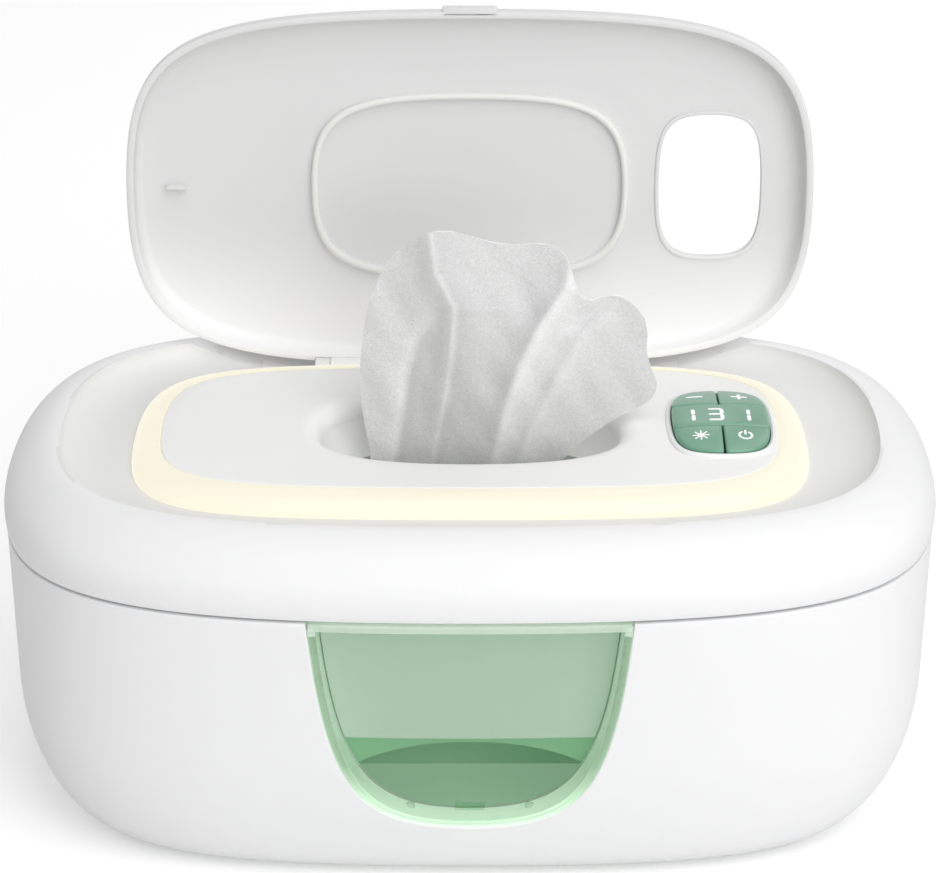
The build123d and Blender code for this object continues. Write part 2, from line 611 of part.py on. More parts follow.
with BuildPart() as plate_screws:
    for turn_degrees in PLATE_SCREW_TURNS:
        screw_x, screw_y = oval_point(PLATE_SCREW_HALF_X, PLATE_SCREW_HALF_Y, BASE_POWER,
                                      turn_degrees)
        with Locations((screw_x, screw_y, FOOT_HEIGHT)):
            Cylinder(SCREW_HEAD_RADIUS, SCREW_HEAD_HEIGHT, align=CENTRE_BOTTOM)
            Cylinder(SCREW_RADIUS, PLATE_THICKNESS + SCREW_REACH, align=CENTRE_BOTTOM)
save(plate_screws, "plate_screws")

# ---------------------------------------------------------------- front window
with BuildPart() as window_hollow:
    loft_base(WINDOW_PANE)
    with BuildSketch(Plane.XZ.offset(WINDOW_BACK)):
        WindowOutline(FIT_GAP + WINDOW_SIDE)
    extrude(amount=BODY_HALF_Y, mode=Mode.INTERSECT)
    block((-WINDOW_HALF_X, -BODY_HALF_Y, BASE_TOP_Z - WINDOW_SIDE),
          (WINDOW_HALF_X, 0, SEAM_Z), mode=Mode.SUBTRACT)

with BuildPart() as front_window:
    loft_base(0.0)
    with BuildSketch(Plane.XZ.offset(WINDOW_BACK)):
        WindowOutline(FIT_GAP)
    extrude(amount=BODY_HALF_Y, mode=Mode.INTERSECT)
    add(window_hollow.part, mode=Mode.SUBTRACT)
save(front_window, "front_window")

# ---------------------------------------------------------------- inner tub
with BuildPart() as tub_outside:
    oval_slab(TUB_HALF_X, TUB_HALF_Y, TUB_POWER, TUB_BOTTOM_Z, FLANGE_TOP_Z)
    fillet(tub_outside.faces().sort_by(Axis.Z)[0].edges(), TUB_ROUND)

with BuildPart() as tub_hollow:
    oval_slab(TUB_HALF_X - TUB_WALL, TUB_HALF_Y - TUB_WALL, TUB_POWER, TUB_FLOOR_Z,
              SEAM_Z)
    fillet(tub_hollow.faces().sort_by(Axis.Z)[0].edges(), TUB_ROUND - TUB_WALL)

with BuildPart() as inner_tub:
    oval_slab(TUB_HALF_X + TUB_FLANGE, TUB_HALF_Y + TUB_FLANGE, TUB_POWER,
              FLANGE_TOP_Z - TUB_FLANGE_THICKNESS, FLANGE_TOP_Z)
    add(window_aperture.part, mode=Mode.SUBTRACT)
    block(contact_low, contact_high, mode=Mode.SUBTRACT)
    add(tub_outside.part)
    add(tub_hollow.part, mode=Mode.SUBTRACT)
    # arched sight opening low in the front wall
    with BuildSketch(Plane.XZ.offset(TUB_HALF_Y / 2)):
        with Locations((0, ARCH_CENTRE_Z)):
            Ellipse(ARCH_HALF_X, ARCH_RISE)
        with Locations((0, TUB_FLOOR_Z)):
            Rectangle(4 * ARCH_HALF_X, 2 * ARCH_RISE, align=(Align.CENTER, Align.MAX),
                      mode=Mode.SUBTRACT)
    extrude(amount=BODY_HALF_Y, mode=Mode.SUBTRACT)
save(inner_tub, "inner_tub")

with BuildPart() as window_seal:
    with BuildSketch(Plane.XZ.offset(TUB_HALF_Y / 2)):
        WindowOutline(FIT_GAP)
        WindowOutline(FIT_GAP + WINDOW_SIDE, mode=Mode.SUBTRACT)
    extrude(amount=WINDOW_BACK - TUB_HALF_Y / 2)
    add(tub_outside.part, mode=Mode.SUBTRACT)
    oval_slab(TUB_HALF_X, TUB_HALF_Y, TUB_POWER, TUB_FLOOR_Z, SEAM_Z, mode=Mode.SUBTRACT)
save(window_seal, "window_seal")

with BuildPart() as label_panel:
    label_x, label_y = TUB_HALF_X + LABEL_THICKNESS, TUB_HALF_Y + LABEL_THICKNESS
    loft_ovals([(label_x - LABEL_BEVEL, label_y - LABEL_BEVEL, TUB_POWER, LABEL_BOTTOM_Z),
                (label_x, label_y, TUB_POWER, LABEL_BOTTOM_Z + LABEL_BEVEL),
                (label_x, label_y, TUB_POWER, FLANGE_TOP_Z - TUB_FLANGE_THICKNESS)],
               ruled=True)
    add(tub_outside.part, mode=Mode.SUBTRACT)
    with BuildSketch(Plane.XZ.offset(TUB_HALF_Y / 2)):
        WindowOutline(2 * FIT_GAP + WINDOW_SIDE)
    extrude(amount=BODY_HALF_Y, mode=Mode.INTERSECT)
save(label_panel, "label_panel")

# ---------------------------------------------------------------- heater under the tub
with BuildPart() as heat_plate:
    oval_slab(HEAT_HALF_X, HEAT_HALF_Y, TUB_POWER, HEAT_PLATE_Z, TUB_BOTTOM_Z)
save(heat_plate, "heat_plate")

with BuildPart() as heat_film:
    oval_slab(HEAT_HALF_X, HEAT_HALF_Y, TUB_POWER, HEAT_FILM_Z, HEAT_PLATE_Z)
    # tail that carries the film's terminals
    block((-FILM_TAIL_HALF_X, HEAT_HALF_Y / 2, HEAT_FILM_Z),
          (FILM_TAIL_HALF_X, HEAT_HALF_Y + FILM_TAIL_REACH, HEAT_PLATE_Z))
save(heat_film, "heat_film")

with BuildPart() as insulation_pad:
    oval_slab(HEAT_HALF_X, HEAT_HALF_Y, TUB_POWER, INSULATION_Z, HEAT_FILM_Z)
    for side in (-1, 1):
        low = (side * SENSOR_X - SENSOR_LENGTH / 2, -SENSOR_RADIUS,
               HEAT_FILM_Z - 2 * SENSOR_RADIUS)
        high = (side * SENSOR_X + SENSOR_LENGTH / 2, SENSOR_RADIUS, HEAT_FILM_Z)
        block(low, high, mode=Mode.SUBTRACT)
save(insulation_pad, "insulation_pad")

with BuildPart() as thermal_fuse:
    cylinder_x((SENSOR_X, 0, HEAT_FILM_Z - SENSOR_RADIUS), SENSOR_RADIUS, SENSOR_LENGTH)
save(thermal_fuse, "thermal_fuse")

with BuildPart() as thermistor:
    cylinder_x((-SENSOR_X, 0, HEAT_FILM_Z - SENSOR_RADIUS), SENSOR_RADIUS, SENSOR_LENGTH)
save(thermistor, "thermistor")

# ---------------------------------------------------------------- power board and inlet
BOARD_TOP_Z = POWER_BOARD_Z + BOARD_THICKNESS
with BuildPart() as power_board:
    with Locations((0, POWER_BOARD_CENTRE_Y, POWER_BOARD_Z)):
        Box(POWER_BOARD_X, POWER_BOARD_Y, BOARD_THICKNESS, align=CENTRE_BOTTOM)
save(power_board, "power_board")

with BuildPart() as power_components:
    with Locations((CAPACITOR_X, POWER_BOARD_CENTRE_Y, BOARD_TOP_Z)):
        Cylinder(CAPACITOR_RADIUS, CAPACITOR_HEIGHT, align=CENTRE_BOTTOM)
    with Locations((0, POWER_BOARD_CENTRE_Y + CHIP_SHIFT_Y, BOARD_TOP_Z)):
        Box(CHIP_LENGTH, CHIP_WIDTH, CHIP_HEIGHT, align=CENTRE_BOTTOM)
    with Locations((REGULATOR_X, POWER_BOARD_CENTRE_Y, BOARD_TOP_Z)):
        Box(REGULATOR_WIDTH, REGULATOR_WIDTH, REGULATOR_HEIGHT, align=CENTRE_BOTTOM)
    for socket_x in (WIRE_JACK_X, WIRE_HEAT_X, WIRE_CONTACT_X):
        with Locations((socket_x, SOCKET_Y, BOARD_TOP_Z)):
            Box(SOCKET_LENGTH, SOCKET_WIDTH, SOCKET_HEIGHT, align=CENTRE_BOTTOM)
save(power_components, "power_components")

with BuildPart() as dc_jack:
    with Locations((JACK_X, (JACK_SEAT_Y + JACK_MOUTH_Y) / 2, JACK_Z)):
        Cylinder(JACK_RADIUS, JACK_MOUTH_Y - JACK_SEAT_Y, rotation=ALONG_Y)
    with Locations((JACK_X, JACK_SEAT_Y - JACK_FLANGE_THICKNESS / 2, JACK_Z)):
        Cylinder(JACK_FLANGE_RADIUS, JACK_FLANGE_THICKNESS, rotation=ALONG_Y)
    with Locations((JACK_X, JACK_SEAT_Y - JACK_TAIL / 2, JACK_Z)):
        Cylinder(JACK_RADIUS, JACK_TAIL, rotation=ALONG_Y)
    with Locations((JACK_X, JACK_MOUTH_Y - JACK_BORE_DEPTH / 2, JACK_Z)):
        Cylinder(JACK_BORE, JACK_BORE_DEPTH, rotation=ALONG_Y, mode=Mode.SUBTRACT)
        Cylinder(JACK_PIN, JACK_BORE_DEPTH, rotation=ALONG_Y)
save(dc_jack, "dc_jack")

with BuildPart() as base_contacts:
    block((-CONTACT_HALF_X, CONTACT_LOW_Y, BASE_TOP_Z - CONTACT_DROP),
          (CONTACT_HALF_X, CONTACT_HIGH_Y, BASE_TOP_Z - SLIDING_GAP))
save(base_contacts, "base_contacts")


def wire(points, radius):
    """A round wire along a route with rounded corners."""
    with BuildPart(mode=Mode.PRIVATE) as strand:
        with BuildLine() as route:
            FilletPolyline(*points, radius=WIRE_BEND)
        with BuildSketch(Plane(origin=route.wire() @ 0, z_dir=route.wire() % 0)):
            Circle(radius)
        sweep()
    return strand.part


wire_z = BOARD_TOP_Z + WIRE_RISE
wire_start_y = SOCKET_Y + SOCKET_WIDTH / 2
wire_turn_y = wire_start_y + WIRE_LEAD
with BuildPart() as base_wires:
    # board to the power inlet
    jack_wire_end = (JACK_X, JACK_SEAT_Y - JACK_TAIL, JACK_Z)
    add(wire([(WIRE_JACK_X, wire_start_y, wire_z), (WIRE_JACK_X, wire_turn_y, wire_z),
              (JACK_X, wire_turn_y, JACK_Z), jack_wire_end], WIRE_RADIUS))
    # board to the heating film's tail
    film_wire_y = HEAT_HALF_Y + FILM_TAIL_REACH + WIRE_RADIUS
    add(wire([(WIRE_HEAT_X, wire_start_y, wire_z), (WIRE_HEAT_X, film_wire_y, wire_z),
              (WIRE_HEAT_X, film_wire_y, HEAT_PLATE_Z)], WIRE_RADIUS))
    # board up the back wall to the contacts
    contact_y = CONTACT_LOW_Y + CONTACT_WIDTH / 2
    add(wire([(WIRE_CONTACT_X, wire_start_y, wire_z),
              (WIRE_CONTACT_X, TUB_HALF_Y - WIRE_TURN_INSET, wire_z),
              (WIRE_CONTACT_X, TUB_HALF_Y + WIRE_CLIMB_Y, TUB_FLOOR_Z + WIRE_CLIMB_Z),
              (WIRE_CONTACT_X, contact_y, BASE_TOP_Z / 2),
              (WIRE_CONTACT_X, contact_y, BASE_TOP_Z - CONTACT_DROP)], 1.5 * WIRE_RADIUS))
save(base_wires, "base_wires")

# ---------------------------------------------------------------- upper cover
with BuildPart() as dish_core:
    loft_ovals(dish_sections(DISH_WALL))

with BuildPart() as cover_cavity:
    loft_ovals(cover_sections(WALL, COVER_BOTTOM_Z))
    add(dish_core.part, mode=Mode.SUBTRACT)


def well_prism(wall, mode=Mode.ADD):
    """The space that the open lid's lower edge stands in, grown by a wall."""
    with BuildSketch(Plane.XZ.offset(-WELL_BACK_Y - wall)) as section:
        with Locations((0, WELL_FLOOR_Z + LID_HALF_Y + WELL_GAP)):
            Oval(LID_HALF_X + WELL_GAP + wall, LID_HALF_Y + WELL_GAP + wall, LID_POWER)
    extrude(section.sketch, amount=WELL_BACK_Y - WELL_FRONT_Y + 2 * wall, mode=mode)


# Walls of the well, kept inside the cover's outer face
with BuildPart() as well_walls:
    loft_ovals(cover_sections(0.0, COVER_BOTTOM_Z))
    well_prism(WELL_WALL, mode=Mode.INTERSECT)

with BuildPart() as dish_void:
    loft_ovals(dish_sections(0.0))

with BuildPart() as upper_cover:
    loft_ovals(cover_sections(0.0, COVER_BOTTOM_Z))
    add(cover_cavity.part, mode=Mode.SUBTRACT)
    add(well_walls.part)
    add(dish_void.part, mode=Mode.SUBTRACT)
    # gutter for the light strip, under the light ring
    gutter_x = RING_HOLE_X + GUTTER_WALL + GUTTER_WIDTH
    gutter_y = RING_HOLE_Y + GUTTER_WALL + GUTTER_WIDTH
    oval_slab(gutter_x + GUTTER_WALL, gutter_y + GUTTER_WALL, DECK_POWER,
              GUTTER_FLOOR_Z - GUTTER_WALL, DISH_FLOOR_Z)
    # well for the lid's hinge, open through the lip where the open lid stands
    well_prism(0.0, mode=Mode.SUBTRACT)
    with BuildSketch(Plane.XY.offset(GUTTER_FLOOR_Z)):
        Oval(gutter_x, gutter_y, DECK_POWER)
        Oval(RING_HOLE_X + GUTTER_WALL, RING_HOLE_Y + GUTTER_WALL, DECK_POWER,
             mode=Mode.SUBTRACT)
    extrude(amount=GUTTER_DEPTH, mode=Mode.SUBTRACT)
    oval_slab(RING_HOLE_X, RING_HOLE_Y, DECK_POWER, COVER_BOTTOM_Z, LIP_Z,
              mode=Mode.SUBTRACT)
    # bosses down to the liner
    for turn_degrees in LINER_SCREW_TURNS:
        boss_x, boss_y = oval_point(LINER_SCREW_HALF_X, LINER_SCREW_HALF_Y, LID_POWER,
                                    turn_degrees)
        with Locations((boss_x, boss_y, LINER_TOP_Z)):
            Cylinder(BOSS_RADIUS, DISH_FLOOR_Z - DISH_WALL / 2 - LINER_TOP_Z,
                     align=CENTRE_BOTTOM)
            Cylinder(SCREW_RADIUS, SCREW_REACH, align=CENTRE_BOTTOM, mode=Mode.SUBTRACT)
    # brackets for the lid's hinge pins
    for side in (-1, 1):
        centre = (side * LID_HINGE_X, LID_HINGE_Y, LID_HINGE_Z)
        for end in (-1, 1):
            middle_x = centre[0] + end * (LID_HINGE_SPAN - LID_BRACKET_LENGTH) / 2
            low_x = middle_x - LID_BRACKET_LENGTH / 2
            cylinder_x((middle_x, LID_HINGE_Y, LID_HINGE_Z), LID_KNUCKLE_RADIUS,
                       LID_BRACKET_LENGTH)
            block((low_x, LID_HINGE_Y - LID_KNUCKLE_RADIUS, WELL_FLOOR_Z - DISH_WALL / 2),
                  (low_x + LID_BRACKET_LENGTH, LID_HINGE_Y + LID_KNUCKLE_RADIUS,
                   LID_HINGE_Z))
        cylinder_x(centre, LID_PIN_RADIUS, LID_HINGE_SPAN, mode=Mode.SUBTRACT)
    # knuckles of the cover's own hinge on the back wall
    for side in (-1, 1):
        centre = (side * COVER_HINGE_X, COVER_HINGE_Y, COVER_HINGE_Z)
        for end in (-1, 1):
            middle_x = centre[0] + end * (COVER_HINGE_SPAN - BASE_KNUCKLE_LENGTH) / 2
            cylinder_x((middle_x, COVER_HINGE_Y, COVER_HINGE_Z),
                       COVER_KNUCKLE_RADIUS + 2 * SLIDING_GAP,
                       BASE_KNUCKLE_LENGTH + 2 * SLIDING_GAP, mode=Mode.SUBTRACT)
        cylinder_x(centre, COVER_KNUCKLE_RADIUS, COVER_KNUCKLE_LENGTH)
        cylinder_x(centre, COVER_PIN_RADIUS + PIN_GAP, COVER_KNUCKLE_LENGTH,
                   mode=Mode.SUBTRACT)
save(upper_cover, "upper_cover")

for name, spot_x, spot_y, spot_z, radius, length in (
    ("cover_hinge_pins", COVER_HINGE_X, COVER_HINGE_Y, COVER_HINGE_Z, COVER_PIN_RADIUS,
     COVER_HINGE_SPAN),
    ("lid_hinge_pins", LID_HINGE_X, LID_HINGE_Y, LID_HINGE_Z, LID_PIN_RADIUS,
     LID_HINGE_SPAN),
):
    with BuildPart() as pins:
        for side in (-1, 1):
            cylinder_x((side * spot_x, spot_y, spot_z), radius, length)
    save(pins, name)

# ---------------------------------------------------------------- light ring and its strip
with BuildPart() as light_ring:
    sections = []
    for turn_degrees in (90, 70, 50, 30, 15, 0):
        turn = radians(turn_degrees)
        grown = RING_WIDTH * sin(turn)
        sections.append((DECK_HALF_X + grown, DECK_HALF_Y + grown, DECK_POWER,
                         DISH_FLOOR_Z + RING_RISE * cos(turn)))
    loft_ovals(sections)
    oval_slab(RING_HOLE_X, RING_HOLE_Y, DECK_POWER, DISH_FLOOR_Z, DECK_Z, mode=Mode.SUBTRACT)
    oval_slab(DECK_HALF_X, DECK_HALF_Y, DECK_POWER, DECK_Z - DECK_THICKNESS, DECK_Z,
              mode=Mode.SUBTRACT)
    # room for the control panel's bezel
    panel_slab(BEZEL_SKIRT_X + FIT_GAP, BEZEL_SKIRT_Y + FIT_GAP, DISH_FLOOR_Z,
               DECK_Z - DECK_THICKNESS, mode=Mode.SUBTRACT)
save(light_ring, "light_ring")

strip_middle_x = RING_HOLE_X + GUTTER_WALL + GUTTER_WIDTH / 2
strip_middle_y = RING_HOLE_Y + GUTTER_WALL + GUTTER_WIDTH / 2
strip_half_width = GUTTER_WIDTH / 2 - 2 * FIT_GAP
with BuildPart() as light_strip:
    with BuildSketch(Plane.XY.offset(GUTTER_FLOOR_Z)):
        Oval(strip_middle_x + strip_half_width, strip_middle_y + strip_half_width, DECK_POWER)
        Oval(strip_middle_x - strip_half_width, strip_middle_y - strip_half_width, DECK_POWER,
             mode=Mode.SUBTRACT)
    extrude(amount=LED_STRIP_THICKNESS)
save(light_strip, "light_strip")

with BuildPart() as strip_leds:
    for index in range(LED_COUNT):
        led_x, led_y = oval_point(strip_middle_x, strip_middle_y, DECK_POWER,
                                  360 * (index + 0.5) / LED_COUNT)
        with Locations((led_x, led_y, GUTTER_FLOOR_Z + LED_STRIP_THICKNESS)):
            Box(LED_WIDTH, LED_WIDTH, LED_HEIGHT, align=CENTRE_BOTTOM)
save(strip_leds, "strip_leds")

# ---------------------------------------------------------------- deck with its funnel
with BuildPart() as funnel_hollow:
    throat_z = DECK_Z - FUNNEL_FLARE
    loft_ovals([(FUNNEL_FOOT_HALF_X, FUNNEL_FOOT_HALF_Y, FUNNEL_POWER, FUNNEL_FOOT_Z),
                (FUNNEL_HALF_X, FUNNEL_HALF_Y, FUNNEL_POWER, throat_z)], ruled=True)
    sections = []
    for turn_degrees in (0, 20, 40, 60, FLARE_TURN):
        turn = radians(turn_degrees)
        grown = FUNNEL_FLARE * (1 - cos(turn))
        height = throat_z + FUNNEL_FLARE * sin(turn) / sin(radians(FLARE_TURN))
        sections.append((FUNNEL_HALF_X + grown, FUNNEL_HALF_Y + grown, FUNNEL_POWER, height))
    loft_ovals(sections)

with BuildPart() as deck:
    oval_slab(DECK_HALF_X - FIT_GAP, DECK_HALF_Y - FIT_GAP, DECK_POWER,
              DECK_Z - DECK_THICKNESS, DECK_Z)
    fillet(deck.faces().sort_by(Axis.Z)[-1].edges(), DECK_EDGE_ROUND)
    loft_ovals([(FUNNEL_FOOT_HALF_X + FUNNEL_WALL, FUNNEL_FOOT_HALF_Y + FUNNEL_WALL,
                 FUNNEL_POWER, FUNNEL_FOOT_Z),
                (FUNNEL_HALF_X + FUNNEL_WALL, FUNNEL_HALF_Y + FUNNEL_WALL, FUNNEL_POWER,
                 throat_z),
                (FUNNEL_HALF_X + FUNNEL_FLARE + FUNNEL_WALL,
                 FUNNEL_HALF_Y + FUNNEL_FLARE + FUNNEL_WALL, FUNNEL_POWER,
                 DECK_Z - DECK_THICKNESS / 2)], ruled=True)
    add(funnel_hollow.part, mode=Mode.SUBTRACT)
    # aperture for the control panel's bezel
    oval_hole = (BEZEL_SKIRT_X + FIT_GAP, BEZEL_SKIRT_Y + FIT_GAP, PANEL_POWER)
    with BuildSketch(Plane.XY.offset(DECK_Z)):
        with Locations((PANEL_X, 0)):
            Oval(*oval_hole)
    extrude(amount=-DECK_THICKNESS, mode=Mode.SUBTRACT)
    # bosses for the control board, and posts down to the liner
    with Locations((PANEL_X + CONTROL_BOARD_SHIFT, 0, CONTROL_BOARD_TOP_Z)):
        with GridLocations(0, 2 * CONTROL_BOSS_Y, 1, 2):
            Cylinder(CONTROL_BOSS_RADIUS, DECK_Z - DECK_THICKNESS / 2 - CONTROL_BOARD_TOP_Z,
                     align=CENTRE_BOTTOM)
            Cylinder(BOARD_SCREW_RADIUS, BOARD_SCREW_REACH, align=CENTRE_BOTTOM,
                     mode=Mode.SUBTRACT)
    for post_x, post_y in DECK_POSTS:
        with Locations((post_x, post_y, LINER_TOP_Z)):
            Cylinder(BOSS_RADIUS, DECK_Z - DECK_THICKNESS / 2 - LINER_TOP_Z,
                     align=CENTRE_BOTTOM)
            Cylinder(SCREW_RADIUS, SCREW_REACH, align=CENTRE_BOTTOM, mode=Mode.SUBTRACT)
save(deck, "deck")

with BuildPart() as slot_flap:
    oval_slab(FLAP_HALF_X, FLAP_HALF_Y, FUNNEL_POWER, FLAP_Z, FUNNEL_FOOT_Z)
    oval_slab(SLOT_HALF_X, SLOT_HALF_Y, FUNNEL_POWER, FLAP_Z, FUNNEL_FOOT_Z,
              mode=Mode.SUBTRACT)
save(slot_flap, "slot_flap")

# ---------------------------------------------------------------- cover liner and gasket
liner_holes = [oval_point(LINER_SCREW_HALF_X, LINER_SCREW_HALF_Y, LID_POWER, turn_degrees)
               for turn_degrees in LINER_SCREW_TURNS] + list(DECK_POSTS)
with BuildPart() as cover_liner:
    oval_slab(LINER_HALF_X, LINER_HALF_Y, BODY_POWER, LINER_Z, LINER_TOP_Z)
    oval_slab(FLAP_HALF_X, FLAP_HALF_Y, FUNNEL_POWER, LINER_TOP_Z, FLAP_Z)
    oval_slab(FUNNEL_FOOT_HALF_X, FUNNEL_FOOT_HALF_Y, FUNNEL_POWER, LINER_Z, FLAP_Z,
              mode=Mode.SUBTRACT)
    block((-CONTACT_HALF_X, CONTACT_LOW_Y, LINER_Z),
          (CONTACT_HALF_X, CONTACT_HIGH_Y, LINER_TOP_Z), mode=Mode.SUBTRACT)
    for hole_x, hole_y in liner_holes:
        with Locations((hole_x, hole_y, LINER_Z)):
            Cylinder(SCREW_RADIUS + FIT_GAP, LINER_THICKNESS, align=CENTRE_BOTTOM,
                     mode=Mode.SUBTRACT)
            Cylinder(SCREW_HEAD_RADIUS + FIT_GAP, SCREW_HEAD_HEIGHT, align=CENTRE_BOTTOM,
                     mode=Mode.SUBTRACT)
save(cover_liner, "cover_liner")

with BuildPart() as liner_screws:
    for hole_x, hole_y in liner_holes:
        with Locations((hole_x, hole_y, LINER_Z)):
            Cylinder(SCREW_HEAD_RADIUS, SCREW_HEAD_HEIGHT, align=CENTRE_BOTTOM)
            Cylinder(SCREW_RADIUS, LINER_THICKNESS + SCREW_REACH, align=CENTRE_BOTTOM)
save(liner_screws, "liner_screws")

with BuildPart() as cover_gasket:
    with BuildSketch(Plane.XY.offset(FLANGE_TOP_Z + SLIDING_GAP)):
        seal_x, seal_y = TUB_HALF_X - SEAL_INSET, TUB_HALF_Y - SEAL_INSET
        Oval(seal_x, seal_y, TUB_POWER)
        Oval(seal_x - SEAL_WIDTH, seal_y - SEAL_WIDTH, TUB_POWER, mode=Mode.SUBTRACT)
    extrude(amount=LINER_Z - FLANGE_TOP_Z - SLIDING_GAP)
save(cover_gasket, "cover_gasket")

with BuildPart() as cover_contacts:
    block((-CONTACT_HALF_X, CONTACT_LOW_Y, BASE_TOP_Z),
          (CONTACT_HALF_X, CONTACT_HIGH_Y, LINER_TOP_Z + CONTACT_RISE))
save(cover_contacts, "cover_contacts")

# ---------------------------------------------------------------- control panel
with BuildPart() as bezel:
    outer_x, outer_y = BEZEL_HOLE_X + BEZEL_WIDTH, BEZEL_HOLE_Y + BEZEL_WIDTH
    loft_ovals([(outer_x, outer_y, PANEL_POWER, DECK_Z),
                (outer_x, outer_y, PANEL_POWER, DECK_Z + BEZEL_RISE - BEZEL_CHAMFER),
                (outer_x - BEZEL_CHAMFER, outer_y - BEZEL_CHAMFER, PANEL_POWER,
                 DECK_Z + BEZEL_RISE)], ruled=True, centre_x=PANEL_X)
    panel_slab(BEZEL_SKIRT_X, BEZEL_SKIRT_Y, DECK_Z - BEZEL_SKIRT, DECK_Z)
    panel_slab(BEZEL_HOLE_X, BEZEL_HOLE_Y, DECK_Z - BEZEL_SKIRT, DECK_Z + BEZEL_RISE,
               mode=Mode.SUBTRACT)
save(bezel, "bezel")

# The keys and the display share one domed face, cut apart by straight gaps.
with BuildPart() as panel_face:
    panel_slab(PANEL_HALF_X, PANEL_HALF_Y, KEY_FOOT_Z, PANEL_TOP_Z)
    with Locations((PANEL_X, 0, PANEL_TOP_Z - PANEL_DOME_RADIUS)):
        Sphere(PANEL_DOME_RADIUS, mode=Mode.INTERSECT)

key_low_y = DISPLAY_HALF_Y + KEY_GAP
panel_pieces = {
    "minus_key": (-PANEL_HALF_X, key_low_y, -KEY_GAP / 2, PANEL_HALF_Y),
    "plus_key": (KEY_GAP / 2, key_low_y, PANEL_HALF_X, PANEL_HALF_Y),
    "light_key": (-PANEL_HALF_X, -PANEL_HALF_Y, -KEY_GAP / 2, -key_low_y),
    "power_key": (KEY_GAP / 2, -PANEL_HALF_Y, PANEL_HALF_X, -key_low_y),
    "display_lens": (-PANEL_HALF_X, -DISPLAY_HALF_Y, PANEL_HALF_X, DISPLAY_HALF_Y),
}
for name, (low_x, low_y, high_x, high_y) in panel_pieces.items():
    with BuildPart() as panel_piece:
        add(panel_face.part)
        with Locations((PANEL_X + (low_x + high_x) / 2, (low_y + high_y) / 2, KEY_FOOT_Z)):
            Box(high_x - low_x, high_y - low_y, PANEL_TOP_Z - KEY_FOOT_Z,
                align=CENTRE_BOTTOM, mode=Mode.INTERSECT)
    save(panel_piece, name)

with BuildPart() as display_module:
    with Locations((PANEL_X, 0, CONTROL_BOARD_TOP_Z)):
        Box(DISPLAY_MODULE_X, 2 * DISPLAY_HALF_Y - 2 * KEY_GAP,
            KEY_FOOT_Z - CONTROL_BOARD_TOP_Z, align=CENTRE_BOTTOM)
save(display_module, "display_module")

with BuildPart() as key_mat:
    panel_slab(PANEL_HALF_X, PANEL_HALF_Y, CONTROL_BOARD_TOP_Z,
               CONTROL_BOARD_TOP_Z + MAT_THICKNESS)
    with Locations((PANEL_X, 0, CONTROL_BOARD_TOP_Z)):
        with GridLocations(PANEL_HALF_X, PANEL_HALF_Y + DISPLAY_HALF_Y, 2, 2):
            Cylinder(PAD_RADIUS, MAT_THICKNESS + PAD_HEIGHT, align=CENTRE_BOTTOM)
        Box(2 * PANEL_HALF_X, 2 * DISPLAY_HALF_Y, MAT_THICKNESS, align=CENTRE_BOTTOM,
            mode=Mode.SUBTRACT)
save(key_mat, "key_mat")

with BuildPart() as control_board:
    with BuildSketch(Plane.XY.offset(CONTROL_BOARD_Z)):
        with Locations((PANEL_X + CONTROL_BOARD_SHIFT, 0)):
            RectangleRounded(CONTROL_BOARD_X, CONTROL_BOARD_Y, CONTROL_BOARD_ROUND)
            with GridLocations(0, 2 * CONTROL_BOSS_Y, 1, 2):
                Circle(BOARD_SCREW_RADIUS + FIT_GAP, mode=Mode.SUBTRACT)
    extrude(amount=BOARD_THICKNESS)
save(control_board, "control_board")

with BuildPart() as board_screws:
    with Locations((PANEL_X + CONTROL_BOARD_SHIFT, 0, CONTROL_BOARD_Z)):
        with GridLocations(0, 2 * CONTROL_BOSS_Y, 1, 2):
            Cylinder(BOARD_SCREW_HEAD_RADIUS, BOARD_SCREW_HEAD_HEIGHT,
                     align=(Align.CENTER, Align.CENTER, Align.MAX))
            Cylinder(BOARD_SCREW_RADIUS, BOARD_THICKNESS + BOARD_SCREW_REACH,
                     align=CENTRE_BOTTOM)
save(board_screws, "board_screws")

with BuildPart() as cover_wires:
    wire_top_z = LINER_TOP_Z + CONTACT_RISE / 2
    contact_wire_y = CONTACT_LOW_Y - COVER_WIRE_RADIUS
    board_wire_x = PANEL_X + CONTROL_BOARD_SHIFT - CONTROL_BOARD_X / 2 + BOARD_WIRE_INSET
    add(wire([(CONTACT_HALF_X / 2, CONTACT_LOW_Y, wire_top_z),
              (CONTACT_HALF_X / 2, WELL_BACK_Y, wire_top_z),
              (board_wire_x, CONTROL_BOARD_Y / 2, wire_top_z),
              (board_wire_x, CONTROL_BOARD_Y / 3, wire_top_z),
              (board_wire_x, CONTROL_BOARD_Y / 3, CONTROL_BOARD_Z)], COVER_WIRE_RADIUS))
save(cover_wires, "cover_wires")

# ---------------------------------------------------------------- lid, drawn shut, stored open
lid_swing = (Pos(0, LID_HINGE_Y, LID_HINGE_Z) * Rot(-LID_OPEN_ANGLE, 0, 0)
             * Pos(0, -LID_HINGE_Y, -LID_HINGE_Z))


def lid_slab(half_x, half_y, power, low, high, mode=Mode.ADD, centre=(0.0, 0.0)):
    """Extrude an oval of the lid between two heights of the shut lid."""
    with BuildSketch(Plane.XY.offset(low)) as outline:
        with Locations(centre):
            Oval(half_x, half_y, power)
    extrude(outline.sketch, amount=high - low, mode=mode)


LID_TOP_Z = LID_RIM_Z + LID_HEIGHT
LID_COLLAR_Z = LID_INNER_Z - LID_COLLAR_HEIGHT
panel_spot = (PANEL_X, 0.0)

with BuildPart() as lid_hollow:
    lid_slab(LID_HALF_X - LID_WALL, LID_HALF_Y - LID_WALL, LID_POWER, LID_RIM_Z, LID_INNER_Z)
    fillet(lid_hollow.faces().sort_by(Axis.Z)[-1].edges(), LID_ROUND - LID_WALL)

